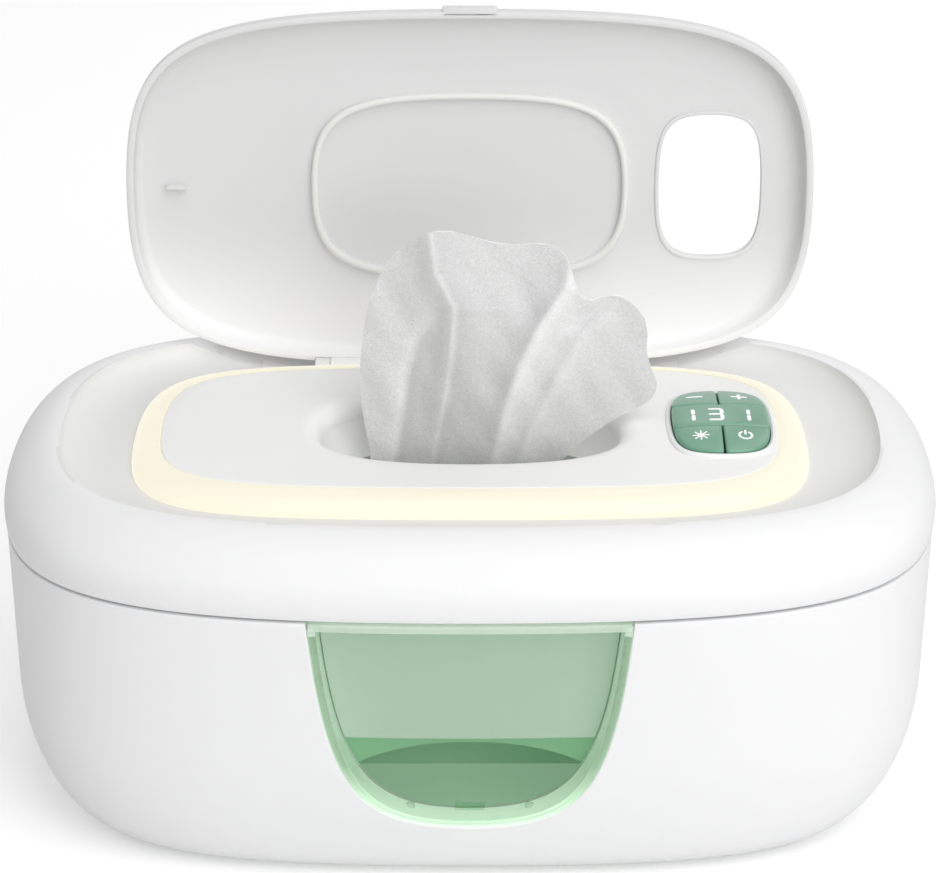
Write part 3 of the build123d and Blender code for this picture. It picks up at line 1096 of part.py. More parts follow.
with BuildPart() as shut_lid:
    lid_slab(LID_HALF_X, LID_HALF_Y, LID_POWER, LID_RIM_Z, LID_TOP_Z)
    fillet(shut_lid.faces().sort_by(Axis.Z)[-1].edges(), LID_ROUND)
    add(lid_hollow.part, mode=Mode.SUBTRACT)
    # collar and window over the control panel
    lid_slab(LID_WINDOW_HALF_X + LID_COLLAR_WIDTH, LID_WINDOW_HALF_Y + LID_COLLAR_WIDTH,
             PANEL_POWER, LID_COLLAR_Z, LID_INNER_Z, centre=panel_spot)
    lid_slab(LID_WINDOW_HALF_X, LID_WINDOW_HALF_Y, PANEL_POWER, LID_COLLAR_Z, LID_TOP_Z,
             mode=Mode.SUBTRACT, centre=panel_spot)
    # tab for the finger at the front edge, and the fin that the cover's sensor feels
    block((-LID_TAB_HALF_X, -LID_HALF_Y - LID_TAB_REACH, LID_RIM_Z),
          (LID_TAB_HALF_X, -LID_HALF_Y + LID_WALL / 2, LID_RIM_Z + LID_TAB_THICKNESS))
    fin_x = -LID_HALF_X + LID_FIN_INSET
    block((fin_x - LID_FIN_LENGTH / 2, -LID_FIN_THICKNESS / 2, DECK_Z + 2 * SLIDING_GAP),
          (fin_x + LID_FIN_LENGTH / 2, LID_FIN_THICKNESS / 2, LID_INNER_Z))
    # knuckles on the hinge pins, with room for the cover's brackets
    for side in (-1, 1):
        centre = (side * LID_HINGE_X, LID_HINGE_Y, LID_HINGE_Z)
        cylinder_x(centre, LID_KNUCKLE_RADIUS + 2 * SLIDING_GAP,
                   LID_HINGE_SPAN + 2 * SLIDING_GAP, mode=Mode.SUBTRACT)
        cylinder_x(centre, LID_KNUCKLE_RADIUS, LID_KNUCKLE_LENGTH)
        block((centre[0] - LID_KNUCKLE_LENGTH / 2, LID_HALF_Y - LID_WALL, LID_HINGE_Z),
              (centre[0] + LID_KNUCKLE_LENGTH / 2, LID_HALF_Y,
               LID_HINGE_Z + LID_KNUCKLE_RADIUS + 4 * SLIDING_GAP))
        cylinder_x(centre, LID_PIN_RADIUS + PIN_GAP, LID_KNUCKLE_LENGTH, mode=Mode.SUBTRACT)

with BuildPart() as lid:
    add(lid_swing * shut_lid.part)
save(lid, "lid")

with BuildPart() as shut_seal:
    lid_slab(LID_SEAL_HALF_X, LID_SEAL_HALF_Y, LID_SEAL_POWER, DECK_Z + SLIDING_GAP,
             LID_INNER_Z)
    lid_slab(LID_SEAL_HALF_X - LID_SEAL_WIDTH, LID_SEAL_HALF_Y - LID_SEAL_WIDTH,
             LID_SEAL_POWER, DECK_Z + SLIDING_GAP, LID_INNER_Z, mode=Mode.SUBTRACT)

with BuildPart() as lid_seal:
    add(lid_swing * shut_seal.part)
save(lid_seal, "lid_seal")

# ---------------------------------------------------------------- wipes
with BuildPart() as wipe_stack:
    with Locations((0, 0, TUB_FLOOR_Z)):
        Box(2 * STACK_HALF_X, 2 * STACK_HALF_Y, STACK_TOP_Z - TUB_FLOOR_Z,
            align=CENTRE_BOTTOM)
    fillet(wipe_stack.edges().filter_by(Axis.Z), STACK_ROUND)
save(wipe_stack, "wipe_stack")

with BuildPart() as wipe_sheet:
    sections = []
    for height, centre_x, half_x, half_y in (
        (STACK_TOP_Z + SLIDING_GAP, 0.0, SHEET_FOOT_X, SHEET_FOOT_Y),
        (DECK_Z, 0.0, SHEET_FOOT_X, SHEET_FOOT_Y),
        (DECK_Z + SHEET_SPREAD_RISE, SHEET_LEAN, SHEET_SPREAD_X, SHEET_SPREAD_Y),
        (SHEET_TOP_Z, -SHEET_LEAN / 2, SHEET_FOOT_X, SHEET_SPREAD_Y),
    ):
        with BuildSketch(Plane.XY.offset(height)) as outline:
            with Locations((centre_x, 0)):
                Rectangle(2 * half_x, 2 * half_y)
        sections.append(outline.sketch)
    loft(sections, ruled=True)
save(wipe_sheet, "wipe_sheet")
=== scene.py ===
import json
import math

import bmesh
import bpy
import numpy as np
from bpy.props import FloatProperty, FloatVectorProperty, PointerProperty
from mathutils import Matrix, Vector
from mathutils.kdtree import KDTree

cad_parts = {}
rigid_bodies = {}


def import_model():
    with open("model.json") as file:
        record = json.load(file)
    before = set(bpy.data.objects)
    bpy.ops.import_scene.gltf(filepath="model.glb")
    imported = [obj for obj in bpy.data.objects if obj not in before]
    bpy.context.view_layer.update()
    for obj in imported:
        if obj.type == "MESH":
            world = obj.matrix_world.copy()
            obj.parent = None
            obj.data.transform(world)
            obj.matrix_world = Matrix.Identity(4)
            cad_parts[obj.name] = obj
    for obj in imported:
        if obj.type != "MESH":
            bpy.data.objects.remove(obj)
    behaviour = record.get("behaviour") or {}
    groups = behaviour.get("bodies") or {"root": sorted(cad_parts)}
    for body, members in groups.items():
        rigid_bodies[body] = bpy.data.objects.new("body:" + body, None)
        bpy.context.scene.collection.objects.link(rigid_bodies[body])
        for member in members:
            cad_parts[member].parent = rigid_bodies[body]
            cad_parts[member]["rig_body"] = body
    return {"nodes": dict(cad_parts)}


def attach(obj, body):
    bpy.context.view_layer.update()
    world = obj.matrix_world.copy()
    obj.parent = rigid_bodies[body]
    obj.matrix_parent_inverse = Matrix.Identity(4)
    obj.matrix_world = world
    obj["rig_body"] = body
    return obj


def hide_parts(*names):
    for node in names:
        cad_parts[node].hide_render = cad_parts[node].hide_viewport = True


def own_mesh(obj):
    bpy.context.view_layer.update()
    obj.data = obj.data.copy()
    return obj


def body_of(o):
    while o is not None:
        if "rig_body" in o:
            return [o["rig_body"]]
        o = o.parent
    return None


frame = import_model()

bl_info = {
    "name": "Wipe warmer looks",
    "version": (1, 0, 0),
    "blender": (4, 5, 0),
    "location": "3D Viewport > Sidebar > Warmer",
    "description": "Builds the surfaces and finishes of a baby wipe warmer around its solids",
    "category": "Object",
}

# Shapes are worked out in millimetres and turned to metres when a mesh is made.
MM = 0.001
COLUMNS = 256               # steps round a full oval, 64 in each quarter

# ---------------------------------------------------------------- the maker's sizes
BODY_HALF = (123.0, 78.0)
BODY_POWER = 3.0
SEAM_Z = 79.6
SEAM_GAP = 0.8
BASE_TOP_Z = SEAM_Z - SEAM_GAP / 2
COVER_BOTTOM_Z = SEAM_Z + SEAM_GAP / 2
WALL = 2.4
FOOT_Z = 1.2
BASE_DRAFT = 0.03
BASE_ROUND = (21.9, 13.1, 37.0)
BASE_POWER = 3.46
ROUND_SHARE = 0.55          # share of the base's rows that its lower rounding takes
WINDOW_HALF_X = 40.9
WINDOW_DEPTH = 60.2
WINDOW_FLANK, WINDOW_DROP, WINDOW_SOLE = 0.896, 0.80, 0.70
WINDOW_BACK_Y = -68.0
WINDOW_FIT = 0.25
WINDOW_TOP_Z = BASE_TOP_Z - 0.05
WINDOW_HEM = 3.2            # the rim's front keeps the rim's finish, with its painted glow, this far below the base's top
PANE = 2.0
BOSS_X = 15.2
SPREAD_X = 62.0             # how far the window's grid lines fan out at the underside
JACK = (40.0, 9.7, 4.65)    # x, z and radius of the inlet's hole
JACK_SEAT_Y = 63.0
COVER_PIVOT = (36.0, 76.9, 80.8)    # middle of the right back hinge
COVER_KNUCKLE = (2.3, 7.0, 12.0)    # radius, and lengths on the base and on the cover
COVER_KNUCKLE_SHIFT = 9.8           # from a hinge's middle to the base's knuckles

SHOULDER = (13.8, 14.9)
LIP_Z = 99.1
COVER_BULGE, BULGE_SPAN = 1.1, 0.89
LIP_POWER = 3.1
LIP_WIDTH = 0.8
DISH_DEPTH = 6.1
DISH_SLOPE = (12.0, 9.0)
DISH_WALL = 2.0
DISH_FLOOR_Z = LIP_Z - DISH_DEPTH
LIP_HALF = (BODY_HALF[0] - SHOULDER[0], BODY_HALF[1] - SHOULDER[1])
LID_HALF = (LIP_HALF[0] - 14.4, LIP_HALF[1] - 13.1)
LID_POWER = 3.45
RING_HALF = (LID_HALF[0] - 5.2, LID_HALF[1] - 3.9)
RING_WIDTH = 7.4
RING_RISE = 5.4
RING_SHELF = 2.0
DECK_HALF = (RING_HALF[0] - RING_WIDTH, RING_HALF[1] - RING_WIDTH)
DECK_POWER = 3.84
DECK_Z = DISH_FLOOR_Z + RING_RISE
DECK_THICKNESS = 2.0
GUTTER_WALL, GUTTER_WIDTH, GUTTER_DEPTH = 1.2, 5.2, 3.2
WELL_Y = (46.7, 61.5)
WELL_FLOOR_Z = DISH_FLOOR_Z - 3.4
WELL_GAP, WELL_WALL = 1.0, 1.4
WELL_SINK = 0.3             # the well's tray lies this far inside the cover's skin
WELL_RELIEF = 0.05          # and its hollow clears the skin's cut, so no faces share a plane

FUNNEL_HALF = (39.5, 20.0)
FUNNEL_FLARE = 5.5
FUNNEL_FOOT = (36.0, 15.0)
FUNNEL_FOOT_Z = 86.0
FUNNEL_POWER = 2.5
FUNNEL_WALL = 1.6

PANEL_X = DECK_HALF[0] - 15.6
PANEL_HALF = (12.85, 19.15)
PANEL_POWER = 3.3
PANEL_RISE = 3.6
PANEL_DOME = 92.0
DISPLAY_HALF_Y = 6.4
KEY_GAP = 0.3
KEY_FOOT_Z = DECK_Z - 2.8
BEZEL_WIDTH, BEZEL_RISE = 1.3, 1.0
PANEL_POCKET = (PANEL_HALF[0] + 1.05, PANEL_HALF[1] + 1.05)

LID_RIM_Z = DISH_FLOOR_Z + 1.7
LID_HEIGHT = 9.0
LID_WALL = 2.0
LID_ROUND = 4.5
LID_TOP_Z = LID_RIM_Z + LID_HEIGHT
LID_INNER_Z = LID_TOP_Z - LID_WALL
LID_OPEN = 97.3
LID_HINGE = (0.0, LID_HALF[1] - 0.15, LID_RIM_Z - 0.9)
LID_KNUCKLE_X = 34.0        # middle of each lid hinge
LID_KNUCKLE = (2.2, 10.0)   # radius and length
LID_NOTCH = (2.6, 19.2)     # the room that the lid leaves for the cover's brackets
LID_BRACKET = (7.3, 4.0)    # from a hinge's middle to its brackets, and their width
LID_WINDOW = (14.2, 20.1)
LID_COLLAR = (1.1, 0.6)
LID_SEAL = (44.0, 26.5, 3.2)
RIB_ROUND = 0.9             # half the sealing rib's width
LID_PAINTED_GLOW = (96.0, 136.0)    # heights between which the painted glow that stands in for the ring's light on the lid fades


# ---------------------------------------------------------------- colour
def linear(code):
    """A linear colour from an sRGB hex code such as 'f4f4f2'."""
    parts = np.array([int(code[at:at + 2], 16) for at in (0, 2, 4)]) / 255
    parts = np.where(parts <= 0.04045, parts / 12.92, ((parts + 0.055) / 1.055) ** 2.4)
    return tuple(float(part) for part in parts)


class WarmerSizes(bpy.types.PropertyGroup):
    """Sizes of the looks that someone may want to change."""

    edge_round: FloatProperty(
        name="Edge rounding", description="Rounding of the moulded shells' sharp edges",
        default=0.0005, subtype="DISTANCE", unit="LENGTH")
    panel_edge: FloatProperty(
        name="Key edge", description="Rounding along the edge of each key",
        default=0.0007, subtype="DISTANCE", unit="LENGTH")
    rib_height: FloatProperty(
        name="Lid rib", description="Height of the sealing rib inside the lid",
        default=0.0025, subtype="DISTANCE", unit="LENGTH")
    wipe_fold: FloatProperty(
        name="Wipe folds", description="Depth of the folds in the standing wipe",
        default=0.0085, subtype="DISTANCE", unit="LENGTH")


class WarmerFinish(bpy.types.PropertyGroup):
    """Colours and glow."""

    shell: FloatVectorProperty(
        name="Shell", description="White of the moulded shells", size=3, min=0, max=1,
        subtype="COLOR", default=linear("f1f1f2"))
    # The dish's grey-white is painted shade on the same white ABS as the shell.
    inner: FloatVectorProperty(
        name="Lid inside", description="Grey-white of the dish and the lid's inside",
        size=3, min=0, max=1, subtype="COLOR", default=linear("e6e6e5"))
    key: FloatVectorProperty(
        name="Keys", description="Sage green of the keys", size=3, min=0, max=1,
        subtype="COLOR", default=linear("6b9e84"))
    window: FloatVectorProperty(
        name="Window", description="Tint of the clear window", size=3, min=0, max=1,
        subtype="COLOR", default=linear("59a668"))
    glow: FloatVectorProperty(
        name="Ring light", description="Colour of the light ring", size=3, min=0, max=1,
        subtype="COLOR", default=linear("fffae4"))
    glow_strength: FloatProperty(
        name="Ring strength", description="Brightness of the light ring", default=0.64, min=0)


# ---------------------------------------------------------------- shapes as arrays
def oval(turns, half_x, half_y, power):
    """A superellipse's quarters, each a cubic curve through its corner.

    In a quarter, from (1, 0) to (0, 1), the curve's handles are h long, and h is chosen
    so that the middle lies on |x|^power + |y|^power = 1. Turns count quarters.
    """
    quarter = np.floor(turns).astype(int) % 4
    share = turns - np.floor(turns)
    step = np.where(quarter % 2 == 1, 1 - share, share)
    handle = (8 * 0.5 ** (1 / power) - 4) / 3
    rest = 1 - step
    across = rest ** 3 + 3 * rest ** 2 * step + 3 * rest * step ** 2 * handle
    along = 3 * rest ** 2 * step * handle + 3 * rest * step ** 2 + step ** 3
    sign_x = np.where((quarter == 1) | (quarter == 2), -1.0, 1.0)
    sign_y = np.where(quarter >= 2, -1.0, 1.0)
    return half_x * sign_x * across, half_y * sign_y * along


def widened(half, by):
    """Half sizes that grow, or shrink, by the same in x and y."""
    return half[0] + by, half[1] + by


def ringed(rows, columns=COLUMNS, centre=(0.0, 0.0)):
    """Ovals stacked into a grid: each row is (half_x, half_y, power, height)."""
    table = np.array(rows, float)[:, :, None]
    turns = np.arange(columns)[None, :] * 4 / columns
    across, along = oval(turns, table[:, 0], table[:, 1], table[:, 2])
    height = np.broadcast_to(table[:, 3], across.shape)
    return np.stack([across + centre[0], along + centre[1], height], axis=-1)


def arc_rows(inward, half, power, low, high, count):
    """Rows of a quarter round that turns inward from one height to another."""
    angle = np.linspace(0, math.pi / 2, count)
    inset = inward * (1 - np.cos(angle))
    height = low + (high - low) * np.sin(angle)
    return [(*widened(half, -i), power, z) for i, z in zip(inset, height)]


def grid_faces(rows, columns, wrap_rows=False, wrap_columns=True, start=0):
    """Quads of a grid, wrapped round where it closes on itself."""
    row = np.arange(rows if wrap_rows else rows - 1)[:, None]
    column = np.arange(columns if wrap_columns else columns - 1)[None, :]
    next_row, next_column = (row + 1) % rows, (column + 1) % columns
    corners = [row * columns + column, row * columns + next_column,
               next_row * columns + next_column, next_row * columns + column]
    return np.stack([c.ravel() for c in corners], axis=1) + start


def make_piece(name, grids, material, body, merge=True, smooth_angle=35.0):
    """A mesh object from grids of points in millimetres, riding on a body.

    Each grid is (points, wrap_rows, wrap_columns). Poles and seams are merged.
    """
    points, faces, start = [], [], 0
    for grid, wrap_rows, wrap_columns in grids:
        rows, columns = grid.shape[:2]
        points.append(grid.reshape(-1, 3))
        faces.append(grid_faces(rows, columns, wrap_rows, wrap_columns, start))
        start += rows * columns
    mesh = bpy.data.meshes.new(name)
    corner_points = np.concatenate(points) * MM
    quads = np.concatenate(faces)
    mesh.from_pydata(corner_points.tolist(), [], quads.tolist())
    if merge:
        merge_doubles(mesh)
    return dress(bpy.data.objects.new(name, mesh), material, body, smooth_angle)


def merge_doubles(mesh, distance=2e-6):
    """Join points that lie together and drop faces without area."""
    work = bmesh.new()
    work.from_mesh(mesh)
    bmesh.ops.remove_doubles(work, verts=work.verts, dist=distance)
    bmesh.ops.dissolve_degenerate(work, edges=work.edges, dist=distance)
    work.to_mesh(mesh)
    work.free()


def smooth(piece, angle):
    """Shade a piece smooth, with sharp edges beyond an angle."""
    piece.data.shade_smooth()
    piece.data.set_sharp_from_angle(angle=math.radians(angle))


def dress(piece, material, body, smooth_angle=35.0):
    """Link a piece, shade it smooth up to an angle, and let it ride on its body."""
    if piece.name not in bpy.context.scene.collection.objects:
        bpy.context.scene.collection.objects.link(piece)
    piece.data.materials.clear()
    piece.data.materials.append(material)
    smooth(piece, smooth_angle)
    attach(piece, body)
    return piece


def stands_for(piece, node):
    """The piece takes a solid's place, and the solid is hidden."""
    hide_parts(node)
    return piece


def settle(piece, smooth_angle=35.0):
    """Apply a piece's modifiers to its mesh."""
    graph = bpy.context.evaluated_depsgraph_get()
    made = bpy.data.meshes.new_from_object(piece.evaluated_get(graph))
    piece.modifiers.clear()
    old, piece.data = piece.data, made
    bpy.data.meshes.remove(old)
    piece.data.name = piece.name
    smooth(piece, smooth_angle)
    return piece


def cut(piece, cutters, operation="DIFFERENCE"):
    """Cut solids given as grids out of a piece, or keep only what lies in them."""
    for index, grids in enumerate(cutters):
        tool = make_piece(f"{piece.name}_cutter_{index}", grids, piece.data.materials[0],
                          body_of(piece)[0])
        work = piece.modifiers.new("Cut", "BOOLEAN")
        work.operation = operation
        work.solver = "EXACT"
        work.object = tool
        settle(piece)
        bpy.data.objects.remove(tool)
    return piece


def thicken(piece, thickness, edge=None, segments=2):
    """Give a sheet a wall on its inner side, with rounded edges."""
    wall = piece.modifiers.new("Wall", "SOLIDIFY")
    wall.thickness = thickness
    wall.offset = -1
    wall.use_even_offset = True
    if edge:
        round_edges(piece, edge, segments)
    return settle(piece)


def round_edges(piece, width, segments=2, angle=50.0):
    """Round the edges that are sharper than an angle."""
    bevel = piece.modifiers.new("Round", "BEVEL")
    bevel.width = width
    bevel.segments = segments
    bevel.limit_method = "ANGLE"
    bevel.angle_limit = math.radians(angle)
    bevel.harden_normals = False


def plug_rows(half, power, low, high, centre=(0.0, 0.0), columns=128):
    """A capped oval prism as one grid whose end rows shrink to a point."""
    rows = [(0, 0, power, low), (*half, power, low), (*half, power, high), (0, 0, power, high)]
    return [(ringed(rows, columns, centre), False, True)]


def box_grid(low, high):
    """A closed box between two corners."""
    (x0, y0, z0), (x1, y1, z1) = low, high
    middle = ((x0 + x1) / 2, (y0 + y1) / 2)
    loop = np.array([(x0, y0), (x1, y0), (x1, y1), (x0, y1)], float)
    centre = np.repeat(np.array([middle]), 4, axis=0)
    levels = [(centre, z0), (loop, z0), (loop, z1), (centre, z1)]
    grid = np.stack([np.column_stack([spots, np.full(4, z)]) for spots, z in levels])
    return [(grid, False, True)]


def rod_along_x(centre, radius, length, steps=24, chamfer=0.25):
    """A round rod along X with slightly broken ends."""
    half = length / 2
    stations = [(-half, 0), (-half, radius - chamfer), (-half + chamfer, radius),
                (half - chamfer, radius), (half, radius - chamfer), (half, 0)]
    angle = np.arange(steps)[None, :] * 2 * math.pi / steps
    along, reach = np.array(stations).T[:, :, None]
    grid = np.stack([centre[0] + along + 0 * angle, centre[1] + reach * np.cos(angle),
                     centre[2] + reach * np.sin(angle)], axis=-1)
    return (grid, False, True)


def swing_lid(points):
    """Turn points of the shut lid about its hinge to the open place."""
    angle = -math.radians(LID_OPEN)
    cosine, sine = math.cos(angle), math.sin(angle)
    along, up = points[..., 1] - LID_HINGE[1], points[..., 2] - LID_HINGE[2]
    return np.stack([points[..., 0], LID_HINGE[1] + along * cosine - up * sine,
                     LID_HINGE[2] + along * sine + up * cosine], axis=-1)


# ---------------------------------------------------------------- materials
def add(tree, kind, links=None, **settings):
    """Add a node with its settings, and link sockets given by name or index."""
    node = tree.nodes.new(kind)
    for key, value in settings.items():
        if hasattr(node, key):
            setattr(node, key, value)
        else:
            node.inputs[key.replace("_", " ")].default_value = value
    for socket, source in (links or {}).items():
        tree.links.new(source, node.inputs[socket])
    return node


def new_material(name, base, roughness, **sockets):
    """A principled material; returns the material, its tree and its shader node."""
    material = bpy.data.materials.new(name)
    material.use_nodes = True
    tree = material.node_tree
    shader = tree.nodes["Principled BSDF"]
    shader.inputs["Base Color"].default_value = (*base, 1)
    shader.inputs["Roughness"].default_value = roughness
    for socket, value in sockets.items():
        shader.inputs[socket.replace("_", " ")].default_value = value
    return material, tree, shader


def own_place(tree):
    """The piece's own coordinates."""
    return add(tree, "ShaderNodeTexCoord").outputs["Object"]


def height_in(tree, place):
    """The height among a piece's coordinates."""
    return add(tree, "ShaderNodeSeparateXYZ", {"Vector": place}).outputs["Z"]


def mapped(tree, value, low, high, **span):
    """A value that is mapped to run from low to high."""
    return add(tree, "ShaderNodeMapRange", {"Value": value}, To_Min=low, To_Max=high,
               **span).outputs["Result"]


def joined(tree, operation, first, second):
    """Two values put together by a sum, a product or a choice of the larger."""
    return add(tree, "ShaderNodeMath", {0: first, 1: second},
               operation=operation).outputs["Value"]


def times(tree, value, factor):
    """A value times a constant."""
    node = add(tree, "ShaderNodeMath", {0: value}, operation="MULTIPLY")
    node.inputs[1].default_value = factor
    return node.outputs["Value"]


def shaded(tree, factor, colour):
    """A colour that is brightened or darkened from place to place."""
    node = add(tree, "ShaderNodeVectorMath", {0: factor}, operation="MULTIPLY")
    node.inputs[1].default_value = colour
    return node.outputs["Vector"]


def relief(tree, shader, height, strength, distance):
    """Give the surface a fine relief."""
    bump = add(tree, "ShaderNodeBump", {"Height": height}, Strength=strength,
               Distance=distance)
    tree.links.new(bump.outputs["Normal"], shader.inputs["Normal"])


def moulded(name, base, roughness=0.42, grain_mm=0.6, depth=0.04, mottle=0.015, glow=0.0,
            reach=None, **sockets):
    """Moulded plastic: a fine spark-eroded skin and a barely uneven colour.

    A part can take a painted glow in a paler tone of its colour, which stands in for light
    that falls on it from below or within, and fades over its reach of heights.
    """
    material, tree, shader = new_material(name, base, roughness, **sockets)
    place = own_place(tree)
    skin = add(tree, "ShaderNodeTexNoise", {"Vector": place}, Scale=1 / (grain_mm * MM),
               Detail=3.0).outputs["Fac"]
    cloud = add(tree, "ShaderNodeTexNoise", {"Vector": place}, Scale=25.0, Detail=2.0)
    tone = mapped(tree, cloud.outputs["Fac"], 1 - mottle, 1 + mottle)
    tree.links.new(shaded(tree, tone, base), shader.inputs["Base Color"])
    # The glow is painted light: emission that stands in for light falling on the part.
    if glow:
        fade = mapped(tree, height_in(tree, place), glow, 0.0, From_Min=reach[0] * MM,
                      From_Max=reach[1] * MM, interpolation_type="SMOOTHSTEP")
        shader.inputs["Emission Color"].default_value = (*(0.5 + part / 2 for part in base), 1)
        tree.links.new(fade, shader.inputs["Emission Strength"])
    rough = mapped(tree, skin, roughness - 0.05, roughness + 0.05)
    tree.links.new(rough, shader.inputs["Roughness"])
    relief(tree, shader, skin, depth, 0.0002)
    return material


def clear_plastic(name, tint, cover, roughness=0.06):
    """Tinted clear styrene: each face holds back a share of the light; faint flow waves."""
    material, tree, shader = new_material(name, tint, roughness, IOR=1.45, Alpha=cover)
    flow = add(tree, "ShaderNodeTexNoise", {"Vector": own_place(tree)}, Scale=60.0)
    relief(tree, shader, flow.outputs["Fac"], 0.02, 0.0005)
    return material


RIM_SOLE = (22.0, 34.0)     # heights over which the window rim's painted glow fades from its sole
RIM_TOP = (73.5, 77.0)      # and over which it fades again at the top
RIM_PAINTED_GLOW = 0.63


def rim_with_painted_glow(name, tint):
    """The clear moulding's thick rim, with a painted glow that stands in for the light gathering
    in it: brightest at its sole.
    """
    material, tree, shader = new_material(name, tint, 0.12, IOR=1.45)
    height = height_in(tree, own_place(tree))
    sole = mapped(tree, height, 1.0, 0.52, From_Min=RIM_SOLE[0] * MM,
                  From_Max=RIM_SOLE[1] * MM)
    top = mapped(tree, height, 0.0, -0.27, From_Min=RIM_TOP[0] * MM, From_Max=RIM_TOP[1] * MM)
    painted_glow = joined(tree, "ADD", sole, top)
    shader.inputs["Emission Color"].default_value = (*tint, 1)
    tree.links.new(times(tree, painted_glow, RIM_PAINTED_GLOW), shader.inputs["Emission Strength"])
    tree.links.new(mapped(tree, painted_glow, 0.35, 0.9), shader.inputs["Alpha"])
    return material


def glowing(name, colour, strength, body=0.42):
    """Milky acrylic lit from below: the glow fades a little towards the deck."""
    base = tuple(body * part for part in colour)
    material, tree, shader = new_material(name, base, 0.35)
    rise = mapped(tree, height_in(tree, own_place(tree)), 1.0, 0.80,
                  From_Min=DISH_FLOOR_Z * MM, From_Max=DECK_Z * MM)
    tree.links.new(shaded(tree, rise, colour), shader.inputs["Emission Color"])
    shader.inputs["Emission Strength"].default_value = strength
    return material


def woven(name, base, fibre_mm=0.5, spread=0.38):
    """Spunlaced non-woven: tangled fibres, thin patches, and painted light and shade kept on the
    mesh as its tone.
    """
    material, tree, shader = new_material(name, base, 0.85, Sheen_Weight=0.2,
                                          Sheen_Roughness=0.5)
    place = own_place(tree)
    fibres = add(tree, "ShaderNodeTexNoise", {"Vector": place}, Scale=1 / (fibre_mm * MM),
                 Detail=5.0, Distortion=1.5).outputs["Fac"]
    patches = add(tree, "ShaderNodeTexVoronoi", {"Vector": place}, Scale=1 / (2.4 * MM))
    both = joined(tree, "ADD", fibres, patches.outputs["Distance"])
    relief(tree, shader, both, 0.35, 0.0004)
    speckle = mapped(tree, fibres, 0.91, 1.14, From_Min=0.35, From_Max=0.7)
    # The tone holds painted highlight and shade over the wipe's folds.
    tone = add(tree, "ShaderNodeAttribute", attribute_name="tone").outputs["Fac"]
    level = mapped(tree, tone, 1 - spread, 1 + spread, From_Min=-1.0, From_Max=1.0)
    scale = joined(tree, "MULTIPLY", speckle, level)
    tree.links.new(shaded(tree, scale, base), shader.inputs["Base Color"])
    return material


def metal(name, base, roughness, grain_mm=0.4):
    """Drawn or rolled metal with fine lines along it."""
    material, tree, shader = new_material(name, base, roughness, Metallic=1.0)
    stretch = add(tree, "ShaderNodeMapping", {"Vector": own_place(tree)})
    stretch.inputs["Scale"].default_value = (0.05, 1, 1)
    lines = add(tree, "ShaderNodeTexNoise", {"Vector": stretch.outputs["Vector"]},
                Scale=1 / (grain_mm * MM))
    relief(tree, shader, lines.outputs["Fac"], 0.1, 0.0002)
    return material


MATERIALS = {}


def material(name):
    """A finish that has been made, by its short name."""
    return MATERIALS[name]


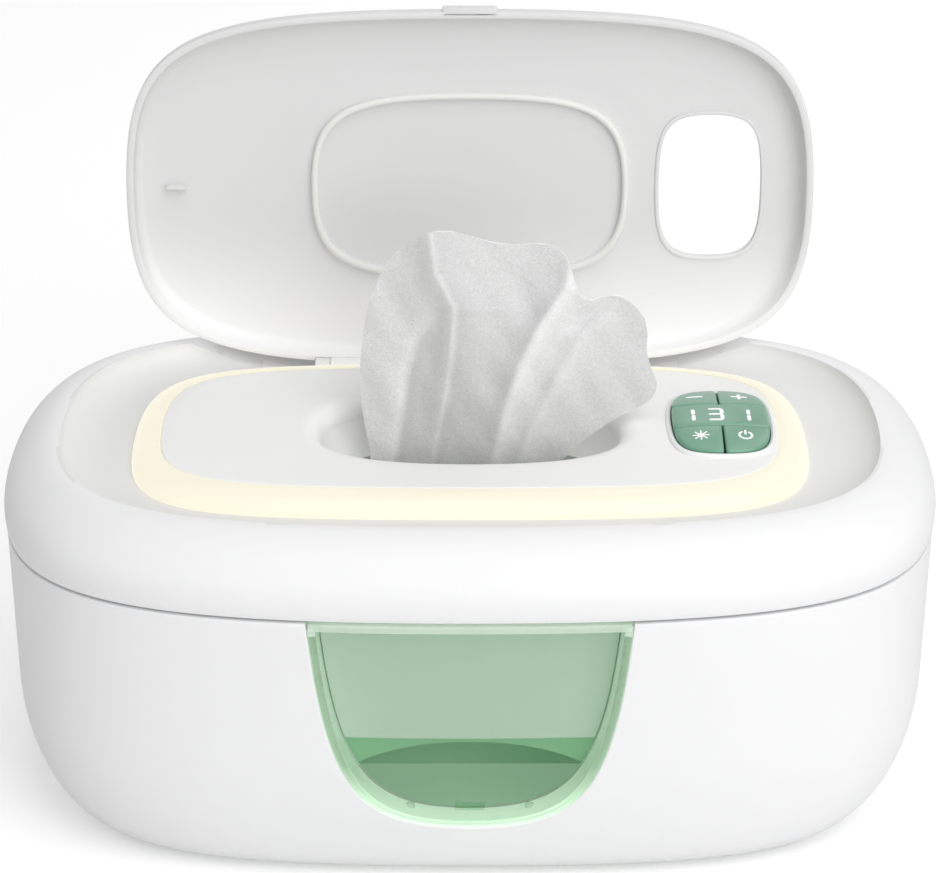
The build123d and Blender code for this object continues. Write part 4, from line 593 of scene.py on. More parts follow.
def make_materials():
    """One finish for each thing that the warmer is made of."""
    look = bpy.context.scene.warmer_finish
    shell, inner = tuple(look.shell), tuple(look.inner)
    made = {
        # Spark-eroded ABS, bright white, soft sheen.
        "shell": moulded("white ABS shell", shell, 0.40),
        # The same ABS inside the dish and the lid, a touch greyer: a darker copy that paints in
        # shade.
        "inner": moulded("white ABS inner face", inner, 0.46),
        # And of the lid: a darker copy of the white, painted shade, with a painted glow near the
        # hinge that stands in for the ring's light from below.
        "lid": moulded("white ABS lid", linear("dddddd"), 0.46, glow=0.235, reach=LID_PAINTED_GLOW),
        # And of the deck, matched to the shell: a lighter copy of the white, painted light.
        "deck": moulded("white ABS deck", linear("f6f6f4"), 0.44),
        # Translucent polypropylene of the tub and flap. The tub's darker green is painted shade
        # and window tint, and a painted glow lights its floor, fading out between 20.5 and 22.5
        # mm.
        "tub": moulded("tub polypropylene", linear("a3cdaa"), 0.5, glow=0.295,
                       reach=(20.5, 22.5)),
        "liner": moulded("liner polypropylene", linear("e6e8e2"), 0.5),
        # Printed card behind the window, left bare.
        "card": moulded("satin card", linear("f2f5f1"), 0.55, 0.3, 0.02),
        # Silicone keys with a satin lacquer.
        "key": moulded("sage silicone key", tuple(look.key), 0.32, 0.4, 0.03,
                       Coat_Weight=0.35, Coat_Roughness=0.18),
        # The mat between the keys, seen as the dark lines of the gaps.
        "key_gap": moulded("dark green silicone mat", linear("3c5f4e"), 0.6),
        "key_mark": glowing("lit key mark", linear("ffffff"), 0.7),
        # The pane lets most light through; the moulding's thick rim holds back more and carries
        # a painted glow.
        "window": clear_plastic("clear green styrene pane", tuple(look.window), 0.20),
        "window_rim": rim_with_painted_glow("clear green styrene rim", linear("dbecdb")),
        "ring": glowing("milky acrylic ring", tuple(look.glow), look.glow_strength),
        "rubber": moulded("grey rubber", linear("8b8d8e"), 0.7, 0.8, 0.1),
        "silicone": moulded("white silicone", linear("e9e9e6"), 0.55, 0.5, 0.03),
        "steel": metal("zinc-plated steel", linear("b9bbbd"), 0.3),
        "aluminium": metal("rolled aluminium", linear("c9cbcd"), 0.35),
        "brass": metal("contact brass", linear("c9a45c"), 0.28),
        "film": moulded("polyimide film", linear("b3661f"), 0.3, 1.0, 0.02),
        "foam": moulded("needled felt", linear("dddbd3"), 0.95, 1.5, 0.6),
        "sensor": moulded("sensor sleeve", linear("4a4a4a"), 0.6),
        "board": moulded("green circuit board", linear("1f6b3d"), 0.35, 1.2, 0.05),
        "black": moulded("black component moulding", linear("1d1d1f"), 0.45),
        "wire": moulded("grey wire jacket", linear("5c5e61"), 0.5),
        "strip": moulded("LED strip", linear("efeee8"), 0.5),
        "led": glowing("LED phosphor", linear("ffe38a"), 1.5),
        "wipe": woven("spunlaced wipe", linear("d9d9d9")),
        # The pile below it, moist; its darker green-grey is painted shade inside the tub, with
        # the window's tint.
        "pile": woven("pile of moist wipes", linear("b4c9b8")),
        # The cut edge of the wipe, where the fibres stand up bright: a lighter copy of its
        # finish, a painted highlight.
        "wipe_edge": woven("wipe cut edge", linear("fcfcfc"), 0.5, 0.0),
    }
    MATERIALS.update(made)


CAD_FINISHES = {
    "shell": ("bottom_plate",),
    "tub": ("inner_tub",),
    "liner": ("cover_liner", "slot_flap"),
    "card": ("label_panel",),
    "rubber": ("rubber_feet",),
    "key_gap": ("key_mat",),
    "silicone": ("window_seal", "cover_gasket"),
    "steel": ("plate_screws", "liner_screws", "board_screws", "cover_hinge_pins",
              "lid_hinge_pins"),
    "aluminium": ("heat_plate",),
    "brass": ("base_contacts", "cover_contacts"),
    "film": ("heat_film",),
    "foam": ("insulation_pad",),
    "sensor": ("thermal_fuse", "thermistor"),
    "board": ("power_board", "control_board"),
    "black": ("power_components", "dc_jack", "display_module"),
    "wire": ("base_wires", "cover_wires"),
    "strip": ("light_strip",),
    "led": ("strip_leds",),
    "pile": ("wipe_stack",),
}


class WARMER_OT_finishes(bpy.types.Operator):
    """Make the materials and give the kept solids theirs"""

    bl_idname = "warmer.finishes"
    bl_label = "Finishes"

    def execute(self, context):
        make_materials()
        for name, nodes in CAD_FINISHES.items():
            for node in nodes:
                solid = frame["nodes"][node]
                solid.data.materials.clear()
                solid.data.materials.append(material(name))
        return {"FINISHED"}


# ---------------------------------------------------------------- base
def base_profile(rise):
    """Half sizes, power and height of the base, as its rise goes from 0 to 1.

    Up to ROUND_SHARE the wall turns through a quarter ellipse, and above it is straight
    with a little draft.
    """
    turn = np.minimum(rise / ROUND_SHARE, 1) * math.pi / 2
    straight = np.maximum(rise - ROUND_SHARE, 0) / (1 - ROUND_SHARE)
    height = (FOOT_Z + BASE_ROUND[2] * (1 - np.cos(turn))
              + straight * (BASE_TOP_Z - FOOT_Z - BASE_ROUND[2]))
    share = (SEAM_Z - height) / (SEAM_Z - FOOT_Z)
    power = BODY_POWER + (BASE_POWER - BODY_POWER) * share
    inward = BASE_DRAFT * (SEAM_Z - height)
    half_x = BODY_HALF[0] - inward - BASE_ROUND[0] * (1 - np.sin(turn))
    half_y = BODY_HALF[1] - inward - BASE_ROUND[1] * (1 - np.sin(turn))
    return half_x, half_y, power, height


def rise_at(height):
    """The rise at which the base's profile reaches a height, read off a fine table."""
    table = np.linspace(0, 1, 4001)
    return np.interp(height, base_profile(table)[3], table)


def front_turn(across, height):
    """How far round from the front middle the base's outline reaches an x, by halving."""
    half_x, half_y, power, _ = base_profile(rise_at(height))
    low, high = np.zeros(np.shape(across)), np.ones(np.shape(across))
    for _ in range(40):
        middle = (low + high) / 2
        reached = oval(3 + middle, half_x, half_y, power)[0] < across
        low, high = np.where(reached, middle, low), np.where(reached, high, middle)
    return (low + high) / 2


def front_face(across, height):
    """y of the base's outer face at the front, for points given by x and z."""
    half_x, half_y, power, _ = base_profile(rise_at(height))
    return oval(3 + front_turn(np.abs(across), height), half_x, half_y, power)[1]


def window_outline(inset, steps=49):
    """Right half of the window's U, from the middle of its sole up to the top: one cubic."""
    half, depth = WINDOW_HALF_X - inset, WINDOW_DEPTH - inset
    step = np.linspace(0, 1, steps)
    rest = 1 - step
    handles = ((0, -depth), (half * WINDOW_SOLE, -depth),
               (half * WINDOW_FLANK, -depth * WINDOW_DROP), (half, 0))
    shares = (rest ** 3, 3 * rest ** 2 * step, 3 * rest * step ** 2, step ** 3)
    across = sum(s * h[0] for s, h in zip(shares, handles))
    height = BASE_TOP_Z + sum(s * h[1] for s, h in zip(shares, handles))
    return across, height


def base_skin():
    """The base's outer face, with grid lines that run down from the window and the seam."""
    across, height = window_outline(0.0)
    window_turn = front_turn(across, height)
    window_rise = rise_at(height)
    spread = front_turn(np.array(SPREAD_X), np.array(FOOT_Z))
    seam = np.linspace(0, 1, 33)[1:]
    turns_top = np.concatenate([window_turn, window_turn[-1] + (1 - window_turn[-1]) * seam,
                                1 + np.linspace(0, 1, 65)[1:]])
    rise_top = np.concatenate([window_rise, np.ones(len(seam) + 64)])
    turns_low = np.concatenate([spread * np.linspace(0, 1, len(across)),
                                spread + (1 - spread) * seam,
                                1 + np.linspace(0, 1, 65)[1:]])
    step = np.linspace(0, 1, 65)[:, None]
    half_x, half_y, power, level = base_profile(step * rise_top)
    turns = 3 + turns_low + (turns_top - turns_low) * step
    along_x, along_y = oval(turns, half_x, half_y, power)
    right = np.stack([along_x, along_y, level], axis=-1)
    left = right[:, ::-1] * (-1, 1, 1)
    return np.concatenate([right, left[:, 1:-1]], axis=1)


class WARMER_OT_base(bpy.types.Operator):
    """Make the base shell with its window opening, inlet hole and hinge knuckles"""

    bl_idname = "warmer.base"
    bl_label = "Base shell"

    def execute(self, context):
        sizes = context.scene.warmer_sizes
        shell = make_piece("base_shell_skin", [(base_skin(), False, True)],
                           material("shell"), "base")
        thicken(shell, WALL * MM, sizes.edge_round)
        hole = rod_along_x((0, 0, 0), JACK[2], 40.0, 48)[0]
        hole = np.stack([hole[..., 1] + JACK[0], -hole[..., 0] + JACK_SEAT_Y + 10,
                         hole[..., 2] + JACK[1]], axis=-1)
        cut(shell, [[(hole, False, True)]])
        stands_for(shell, "base_shell")
        knuckles = []
        for side in (-1, 1):
            for end in (-1, 1):
                centre = (side * COVER_PIVOT[0] + end * COVER_KNUCKLE_SHIFT, *COVER_PIVOT[1:])
                knuckles.append(rod_along_x(centre, COVER_KNUCKLE[0], COVER_KNUCKLE[1], 32))
        pair = make_piece("base_knuckles", knuckles, material("shell"), "base")
        stands_for(pair, "base_shell")
        return {"FINISHED"}


class WARMER_OT_window(bpy.types.Operator):
    """Make the clear U-shaped window that is set flush into the front wall"""

    bl_idname = "warmer.window"
    bl_label = "Front window"

    def execute(self, context):
        rim = self.ring_of(WINDOW_FIT, WINDOW_TOP_Z)
        depth = np.linspace(0, 1, 6)[:, None]
        side = np.stack([np.broadcast_to(rim[:, 0], (6, len(rim))),
                         WINDOW_BACK_Y + (rim[:, 1] - WINDOW_BACK_Y) * depth,
                         np.broadcast_to(rim[:, 2], (6, len(rim)))], axis=-1)
        wall = make_piece("front_window_rim", [(side, False, True)], material("window_rim"),
                          "base")
        recalculate(wall)
        thicken(wall, PANE * MM, 0.0004, 3)
        wall.data.materials.append(material("window"))
        # Front faces below the hem take the pane's finish; the rest keep the rim's painted glow.
        low = (BASE_TOP_Z - WINDOW_HEM) * MM
        for face in wall.data.polygons:
            face.material_index = int(face.normal.y < -0.3 and face.center.z < low)
        self.finish(wall)
        pane = make_piece("front_window_pane",
                          [(self.sheet_of(WINDOW_FIT + PANE, WINDOW_TOP_Z - PANE, 0.25),
                            False, False)], material("window"), "base")
        thicken(pane, PANE * MM)
        self.finish(pane)
        self.finish(self.bosses())
        return {"FINISHED"}

    def finish(self, piece):
        """Put a part of the window in the solid's place."""
        stands_for(piece, "front_window")

    def sheet_of(self, inset, top_z, sink=0.0):
        """The window's face as a grid, from its U up to the straight top."""
        right_x, right_z = window_outline(inset, 41)
        low_x = np.concatenate([-right_x[::-1], right_x[1:]])
        low_z = np.minimum(np.concatenate([right_z[::-1], right_z[1:]]), top_z)
        rise = np.linspace(0, 1, 33)[:, None]
        across = np.broadcast_to(low_x, (33, len(low_x)))
        height = low_z + (top_z - low_z) * rise
        return np.stack([across, front_face(across, height) + sink, height], axis=-1)

    def ring_of(self, inset, top_z):
        """The face's outline as one closed loop."""
        face = self.sheet_of(inset, top_z)
        return np.concatenate([face[0], face[-1][::-1][1:-1]])

    def bosses(self):
        """Two ejector bosses and a clip on the sole of the moulding."""
        across, height = window_outline(WINDOW_FIT + PANE)
        grids = []
        for side in (-1, 1):
            low = float(np.interp(BOSS_X, across, height))
            grids += plug_rows((1.1, 1.1), 2.0, low - 0.3, low + 0.7,
                               (side * BOSS_X, WINDOW_BACK_Y - 2.0), 24)
        low = float(height[0])
        grids += box_grid((-3.8, WINDOW_BACK_Y - 1.2, low - 0.3),
                          (3.8, WINDOW_BACK_Y - 0.2, low + 1.8))
        return make_piece("front_window_bosses", grids, material("window"), "base")


def recalculate(piece):
    """Turn all faces outwards."""
    work = bmesh.new()
    work.from_mesh(piece.data)
    bmesh.ops.recalc_face_normals(work, faces=work.faces)
    work.to_mesh(piece.data)
    work.free()
    return piece


# ---------------------------------------------------------------- upper cover
def shoulder_rows(depth, low):
    """The cover's outer face from the seam to the lip: a quarter ellipse with a swell."""
    angle = np.radians(np.linspace(0, 90, 25))
    swell = COVER_BULGE * np.sin(math.pi * np.minimum(np.sin(angle) / BULGE_SPAN, 1))
    inward = 1 - np.cos(angle)
    power = BODY_POWER + (LIP_POWER - BODY_POWER) * np.sin(angle)
    half_x = BODY_HALF[0] - depth - SHOULDER[0] * inward + swell
    half_y = BODY_HALF[1] - depth - SHOULDER[1] * inward + swell
    height = low + (LIP_Z - depth - low) * np.sin(angle)
    return list(zip(half_x, half_y, power, height))


def dish_rows(wall):
    """The dish's slope from the lip down to its floor: a quarter ellipse."""
    angle = np.radians(np.linspace(0, 90, 19))
    grown = wall * np.cos(angle)
    half_x = LIP_HALF[0] - LIP_WIDTH - DISH_SLOPE[0] * (1 - np.cos(angle)) + grown
    half_y = LIP_HALF[1] - LIP_WIDTH - DISH_SLOPE[1] * (1 - np.cos(angle)) + grown
    height = LIP_Z - (DISH_DEPTH + wall) * np.sin(angle)
    return [(x, y, LIP_POWER, z) for x, y, z in zip(half_x, half_y, height)]


def cover_rows():
    """The cover's whole section, up the outside, over the lip and back underneath."""
    hole = widened(DECK_HALF, -RING_SHELF)
    gutter_in = widened(hole, GUTTER_WALL)
    gutter_out = widened(gutter_in, GUTTER_WIDTH)
    gutter_skin = widened(gutter_out, GUTTER_WALL)
    gutter_z = DISH_FLOOR_Z - GUTTER_DEPTH
    under_z = gutter_z - GUTTER_WALL
    outside = shoulder_rows(0.0, COVER_BOTTOM_Z)
    soft = 0.4
    edge = ((WALL, 0), (soft, 0), (0.3 * soft, 0.3 * soft), (0, soft))  # inset and rise
    rows = [(*widened(outside[0], -inset), BODY_POWER, COVER_BOTTOM_Z + rise)
            for inset, rise in edge]
    rows += [row for row in outside if row[3] > COVER_BOTTOM_Z + 2 * soft]
    rows += dish_rows(0.0)
    rows += [(*widened(gutter_out, 0.5), DECK_POWER, DISH_FLOOR_Z),
             (*gutter_out, DECK_POWER, DISH_FLOOR_Z), (*gutter_out, DECK_POWER, gutter_z),
             (*gutter_in, DECK_POWER, gutter_z), (*gutter_in, DECK_POWER, DISH_FLOOR_Z),
             (*hole, DECK_POWER, DISH_FLOOR_Z), (*hole, DECK_POWER, under_z),
             (*gutter_skin, DECK_POWER, under_z),
             (*gutter_skin, DECK_POWER, DISH_FLOOR_Z - DISH_WALL)]
    rows += dish_rows(DISH_WALL)[::-1][:-4]
    inside = shoulder_rows(WALL, COVER_BOTTOM_Z)[::-1]
    rows += [row for row in inside if row[3] < LIP_Z - WALL - 1.0][:-1]
    return rows


def well_prism(wall):
    """The lid's outline with a gap and a wall round it, carried along Y as a closed prism."""
    turns = np.arange(COLUMNS) * 4 / COLUMNS
    across, up = oval(turns, LID_HALF[0] + WELL_GAP + wall, LID_HALF[1] + WELL_GAP + wall,
                      LID_POWER)
    middle_z = WELL_FLOOR_Z + LID_HALF[1] + WELL_GAP
    front, back = WELL_Y[0] - wall, WELL_Y[1] + wall
    rows = [np.column_stack([across * share, np.full(COLUMNS, y), middle_z + up * share])
            for share, y in ((0, back), (1, back), (1, front), (0, front))]
    return [(np.stack(rows), False, True)]


class WARMER_OT_cover(bpy.types.Operator):
    """Make the upper cover with its lip, dish, light gutter and hinge well"""

    bl_idname = "warmer.cover"
    bl_label = "Upper cover"

    def execute(self, context):
        cover = make_piece("upper_cover_skin", [(ringed(cover_rows()), True, True)],
                           material("shell"), "cover")
        cut(cover, [well_prism(0.0)])
        # The dish's faces take the darker inner finish, which paints in shade.
        cover.data.materials.append(material("inner"))
        reach = np.array([(face.center.x, face.center.y, face.center.z)
                          for face in cover.data.polygons]) / MM
        edge = widened(LIP_HALF, -LIP_WIDTH)
        within = (np.abs(reach[:, 0] / edge[0]) ** LIP_POWER
                  + np.abs(reach[:, 1] / edge[1]) ** LIP_POWER) < 1
        dish = within & (reach[:, 2] > DISH_FLOOR_Z - 0.1)
        cover.data.polygons.foreach_set("material_index", dish.astype(int))
        stands_for(cover, "upper_cover")
        # The well's tray takes the same painted-shade inner finish.
        tray = make_piece("hinge_well", well_prism(WELL_WALL), material("inner"), "cover")
        low = COVER_BOTTOM_Z + WELL_SINK
        rows = [(0, 0, BODY_POWER, low)]
        rows += shoulder_rows(WELL_SINK, low)[:-1] + dish_rows(WELL_SINK)
        rows.append((0, 0, LIP_POWER, rows[-1][3]))
        cut(tray, [[(ringed(rows), False, True)]], "INTERSECT")
        cut(tray, [well_prism(WELL_RELIEF)])
        stands_for(tray, "upper_cover")
        brackets = []
        for side in (-1, 1):
            for end in (-1, 1):
                middle = side * LID_KNUCKLE_X + end * LID_BRACKET[0]
                brackets.append(rod_along_x((middle, *LID_HINGE[1:]), LID_KNUCKLE[0],
                                            LID_BRACKET[1]))
                half = (LID_BRACKET[1] / 2, LID_KNUCKLE[0])
                brackets += box_grid(
                    (middle - half[0], LID_HINGE[1] - half[1], WELL_FLOOR_Z - 0.5),
                    (middle + half[0], LID_HINGE[1] + half[1], LID_HINGE[2]))
        for side in (-1, 1):
            brackets.append(rod_along_x((side * COVER_PIVOT[0], *COVER_PIVOT[1:]),
                                        COVER_KNUCKLE[0], COVER_KNUCKLE[2], 32))
        joints = make_piece("hinge_brackets", brackets, material("shell"), "cover")
        stands_for(joints, "upper_cover")
        return {"FINISHED"}


class WARMER_OT_ring(bpy.types.Operator):
    """Make the milky light ring round the deck"""

    bl_idname = "warmer.ring"
    bl_label = "Light ring"

    def execute(self, context):
        angle = np.radians(np.linspace(90, 0, 25))
        grown = RING_WIDTH * np.sin(angle)
        height = DISH_FLOOR_Z + RING_RISE * np.cos(angle)
        rows = [(*widened(DECK_HALF, g), DECK_POWER, z) for g, z in zip(grown, height)]
        shelf = widened(DECK_HALF, -RING_SHELF)
        rows += [(*DECK_HALF, DECK_POWER, DECK_Z - DECK_THICKNESS),
                 (*shelf, DECK_POWER, DECK_Z - DECK_THICKNESS),
                 (*shelf, DECK_POWER, DISH_FLOOR_Z)]
        ring = make_piece("light_ring_skin", [(ringed(rows), True, True)],
                          material("ring"), "cover")
        cut(ring, [plug_rows(PANEL_POCKET, PANEL_POWER, DISH_FLOOR_Z - 5,
                             DECK_Z - DECK_THICKNESS, (PANEL_X, 0.0))])
        stands_for(ring, "light_ring")
        return {"FINISHED"}


class WARMER_OT_deck(bpy.types.Operator):
    """Make the deck with its flared dispensing funnel"""

    bl_idname = "warmer.deck"
    bl_label = "Deck and funnel"

    def execute(self, context):
        outer = widened(DECK_HALF, -0.25)
        rows = [(*outer, DECK_POWER, DECK_Z - DECK_THICKNESS)]
        rows += arc_rows(0.5, outer, DECK_POWER, DECK_Z - 0.5, DECK_Z, 5)
        mouth = widened(FUNNEL_HALF, FUNNEL_FLARE)
        for share in np.linspace(0.1, 0.96, 12):
            rows.append((outer[0] + (mouth[0] - outer[0]) * share,
                         outer[1] + (mouth[1] - outer[1]) * share,
                         DECK_POWER + (FUNNEL_POWER - DECK_POWER) * share, DECK_Z))
        angle = np.radians(np.linspace(90, 0, 25))
        grown = FUNNEL_FLARE * (1 - np.cos(angle))
        height = DECK_Z - FUNNEL_FLARE * (1 - np.sin(angle))
        rows += [(*widened(FUNNEL_HALF, g), FUNNEL_POWER, z) for g, z in zip(grown, height)]
        rows += [(*FUNNEL_FOOT, FUNNEL_POWER, FUNNEL_FOOT_Z),
                 (*widened(FUNNEL_FOOT, FUNNEL_WALL), FUNNEL_POWER, FUNNEL_FOOT_Z),
                 (*widened(FUNNEL_HALF, FUNNEL_WALL), FUNNEL_POWER, DECK_Z - FUNNEL_FLARE),
                 (*mouth, FUNNEL_POWER, DECK_Z - DECK_THICKNESS)]
        deck = make_piece("deck_skin", [(ringed(rows), True, True)], material("deck"),
                          "cover")
        cut(deck, [plug_rows(PANEL_POCKET, PANEL_POWER, DECK_Z - 4, DECK_Z + 4,
                             (PANEL_X, 0.0))])
        stands_for(deck, "deck")
        return {"FINISHED"}


# ---------------------------------------------------------------- control panel
def dome_height(across, along):
    """Height of the panel's face: a large sphere over the panel's middle."""
    reach = (across - PANEL_X) ** 2 + along ** 2
    return DECK_Z + PANEL_RISE - PANEL_DOME + np.sqrt(PANEL_DOME ** 2 - reach)


def key_outline(low_x, low_y, high_x, high_y, soft=0.9, steps=160):
    """A key's outline: the panel's oval clipped to a box, its corners softened.

    The outline is walked evenly, and each point then takes the mean of its neighbours
    within a short distance, which rounds the corners and leaves straight runs alone.
    """
    turns = np.arange(512) * 4 / 512
    across, along = oval(turns, *PANEL_HALF, PANEL_POWER)
    points = np.column_stack([np.clip(across, low_x, high_x), np.clip(along, low_y, high_y)])
    corner_x = np.where(np.abs(low_x) < np.abs(high_x), low_x, high_x)
    corner_y = np.where(np.abs(low_y) < np.abs(high_y), low_y, high_y)
    if low_x * high_x > 0:
        inside = (((across - corner_x) * np.sign(low_x) > 0)
                  & ((along - corner_y) * np.sign(low_y) > 0))
        start = np.flatnonzero(inside & ~np.roll(inside, 1))[0]
        kept = np.roll(np.arange(512), -start)[:inside.sum()]
        points = np.column_stack([across[kept], along[kept]])
        points = np.vstack([points, [[corner_x, corner_y]]])
    closed = np.vstack([points, points[:1]])
    length = np.concatenate([[0], np.cumsum(np.hypot(*np.diff(closed, axis=0).T))])
    even = np.linspace(0, length[-1], steps, endpoint=False)
    loop = np.column_stack([np.interp(even, length, closed[:, axis]) for axis in (0, 1)])
    reach = max(1, int(round(soft / (length[-1] / steps))))
    shifts = [np.roll(loop, shift, axis=0) for shift in range(-reach, reach + 1)]
    return np.mean(shifts, axis=0) + (PANEL_X, 0.0)


def key_grid(outline, edge):
    """A capped pad over an outline: straight side, rounded edge, domed face."""
    middle = outline.mean(axis=0)
    forward = np.roll(outline, -1, axis=0) - np.roll(outline, 1, axis=0)
    normal = np.column_stack([forward[:, 1], -forward[:, 0]])
    normal /= np.linalg.norm(normal, axis=1)[:, None]
    rows = [np.column_stack([np.repeat(middle[None], len(outline), 0),
                             np.full(len(outline), KEY_FOOT_Z)]),
            np.column_stack([outline, np.full(len(outline), KEY_FOOT_Z)])]
    for angle in np.radians(np.linspace(0, 90, 7)):
        spots = outline - normal * edge * (1 - math.cos(angle))
        height = dome_height(*spots.T) - edge * (1 - math.sin(angle))
        rows.append(np.column_stack([spots, height]))
    face = outline - normal * edge
    for share in np.linspace(1, 0, 9)[1:]:
        spots = middle + (face - middle) * share
        rows.append(np.column_stack([spots, dome_height(*spots.T)]))
    return np.stack(rows)


def stroke_grid(points, width, lift=0.05, steps=6):
    """A flat line of even width along points, with round ends, laid on the domed face."""
    points = np.array(points, float)
    grids = []
    for first, last in zip(points[:-1], points[1:]):
        run = last - first
        run = run / max(np.linalg.norm(run), 1e-9)
        turn = np.linspace(0, math.pi, steps)
        half = width / 2
        side = np.array([-run[1], run[0]])
        cap_end = last + half * (np.outer(np.sin(turn), run) - np.outer(np.cos(turn), side))
        cap_start = first + half * (np.outer(-np.sin(turn), run)
                                    + np.outer(np.cos(turn), side))
        loop = np.vstack([cap_end, cap_start]) + (PANEL_X, 0.0)
        middle = np.repeat(loop.mean(axis=0)[None], len(loop), 0)
        low, high = dome_height(*loop.T) - 0.1, dome_height(*loop.T) + lift
        centre_z = dome_height(*middle.T)
        grids.append((np.stack([np.column_stack([middle, centre_z - 0.1]),
                                np.column_stack([loop, low]), np.column_stack([loop, high]),
                                np.column_stack([middle, centre_z + lift])]), False, True))
    return grids


KEYS = {
    "minus_key": (-PANEL_HALF[0], DISPLAY_HALF_Y + KEY_GAP, -KEY_GAP / 2, PANEL_HALF[1]),
    "plus_key": (KEY_GAP / 2, DISPLAY_HALF_Y + KEY_GAP, PANEL_HALF[0], PANEL_HALF[1]),
    "light_key": (-PANEL_HALF[0], -PANEL_HALF[1], -KEY_GAP / 2, -DISPLAY_HALF_Y - KEY_GAP),
    "power_key": (KEY_GAP / 2, -PANEL_HALF[1], PANEL_HALF[0], -DISPLAY_HALF_Y - KEY_GAP),
    "display_lens": (-PANEL_HALF[0], -DISPLAY_HALF_Y, PANEL_HALF[0], DISPLAY_HALF_Y),
}


def ring_points(centre, radius, start=0.0, end=360.0, steps=14):
    """Points of an arc about a centre, given in degrees."""
    angle = np.radians(np.linspace(start, end, steps))
    return [(centre[0] + radius * math.cos(a), centre[1] + radius * math.sin(a))
            for a in angle]


def key_marks():
    """Strokes of each key's mark: minus, plus, a small sun, the power sign, the digits."""
    thin = 0.6
    sun, power = (-5.9, -11.9), (5.8, -11.9)
    rays = []
    for turn in np.radians(np.arange(8) * 45):
        way = np.array((math.cos(turn), math.sin(turn)))
        rays.append(([sun + 0.6 * way, sun + 2.1 * way], 0.4))
    digits, middle_y = [], -0.6
    for middle in (-7.3, 7.4):
        digits += [([(middle, middle_y + 0.7), (middle, middle_y + 2.9)], 1.0),
                   ([(middle, middle_y - 2.9), (middle, middle_y - 0.7)], 1.0)]
    for level in (3.3, 0.0, -3.3):
        digits.append(([(-2.8, middle_y + level), (-0.1, middle_y + level)], 0.9))
    for level in (1.7, -1.7):
        digits.append(([(0.3, middle_y + level - 1.0), (0.3, middle_y + level + 1.0)], 1.0))
    return {
        "minus_key": [([(-8.0, 12.8), (-4.4, 12.8)], 0.9)],
        "plus_key": [([(3.9, 12.8), (7.5, 12.8)], 0.9), ([(5.7, 11.0), (5.7, 14.6)], 0.8)],
        "light_key": [([sun, (sun[0] + 0.01, sun[1])], 1.8)] + rays,
        "power_key": [(ring_points(power, 1.7, 125, 415), thin),
                      ([(power[0], power[1] + 0.5), (power[0], power[1] + 2.2)], thin)],
        "display_lens": digits,
    }


class WARMER_OT_panel(bpy.types.Operator):
    """Make the bezel, the four keys, the display lens and their marks"""

    bl_idname = "warmer.panel"
    bl_label = "Control panel"

    def execute(self, context):
        edge = context.scene.warmer_sizes.panel_edge / MM
        inner = widened(PANEL_HALF, KEY_GAP)
        outer = widened(inner, BEZEL_WIDTH)
        top = DECK_Z + BEZEL_RISE
        rows = [(*outer, PANEL_POWER, DECK_Z - 0.2)]
        rows += arc_rows(0.8, outer, PANEL_POWER, top - 0.8, top, 7)
        rows += arc_rows(0.3, widened(inner, 0.3), PANEL_POWER, top, top - 0.3, 4)[1:]
        rows += [(*inner, PANEL_POWER, DECK_Z - 4.0),
                 (*widened(inner, 0.5), PANEL_POWER, DECK_Z - 4.0),
                 (*widened(inner, 0.5), PANEL_POWER, DECK_Z - 0.2)]
        bezel = make_piece("bezel_skin", [(ringed(rows, 160, (PANEL_X, 0.0)), True, True)],
                           material("shell"), "cover")
        stands_for(bezel, "bezel")
        marks = key_marks()
        for node, limits in KEYS.items():
            body = "cover" if node == "display_lens" else node
            cap = make_piece(f"{node}_cap", [(key_grid(key_outline(*limits), edge),
                                              False, True)], material("key"), body)
            stands_for(cap, node)
            grids = []
            for points, width in marks[node]:
                grids += stroke_grid(points, width)
            mark = make_piece(f"{node}_mark", grids, material("key_mark"), body, False)
        return {"FINISHED"}


# ---------------------------------------------------------------- lid
def lid_rows():
    """The shut lid's section: up the outside, over the top and back inside to the rim."""
    edge = ((0.5, 0), (0.15, 0.15), (0, 0.5))       # inset and rise of the rim's soft edge
    rows = [(*widened(LID_HALF, -inset), LID_POWER, LID_RIM_Z + rise) for inset, rise in edge]
    rows += arc_rows(LID_ROUND, LID_HALF, LID_POWER, LID_TOP_Z - LID_ROUND, LID_TOP_Z, 13)
    flat = widened(LID_HALF, -LID_ROUND)
    spots = [(flat[0] * share, flat[1] * share) for share in 1 - np.linspace(0.05, 1, 12)]
    rows += [(*spot, LID_POWER, LID_TOP_Z) for spot in spots]
    rows += [(*spot, LID_POWER, LID_INNER_Z) for spot in spots[::-1]]
    inner = widened(LID_HALF, -LID_WALL)
    round_in = LID_ROUND - LID_WALL
    rows += arc_rows(round_in, inner, LID_POWER, LID_INNER_Z - round_in, LID_INNER_Z,
                     11)[::-1]
    rows += [(*widened(inner, inset), LID_POWER, LID_RIM_Z + rise)
             for inset, rise in edge[::-1]]
    return rows


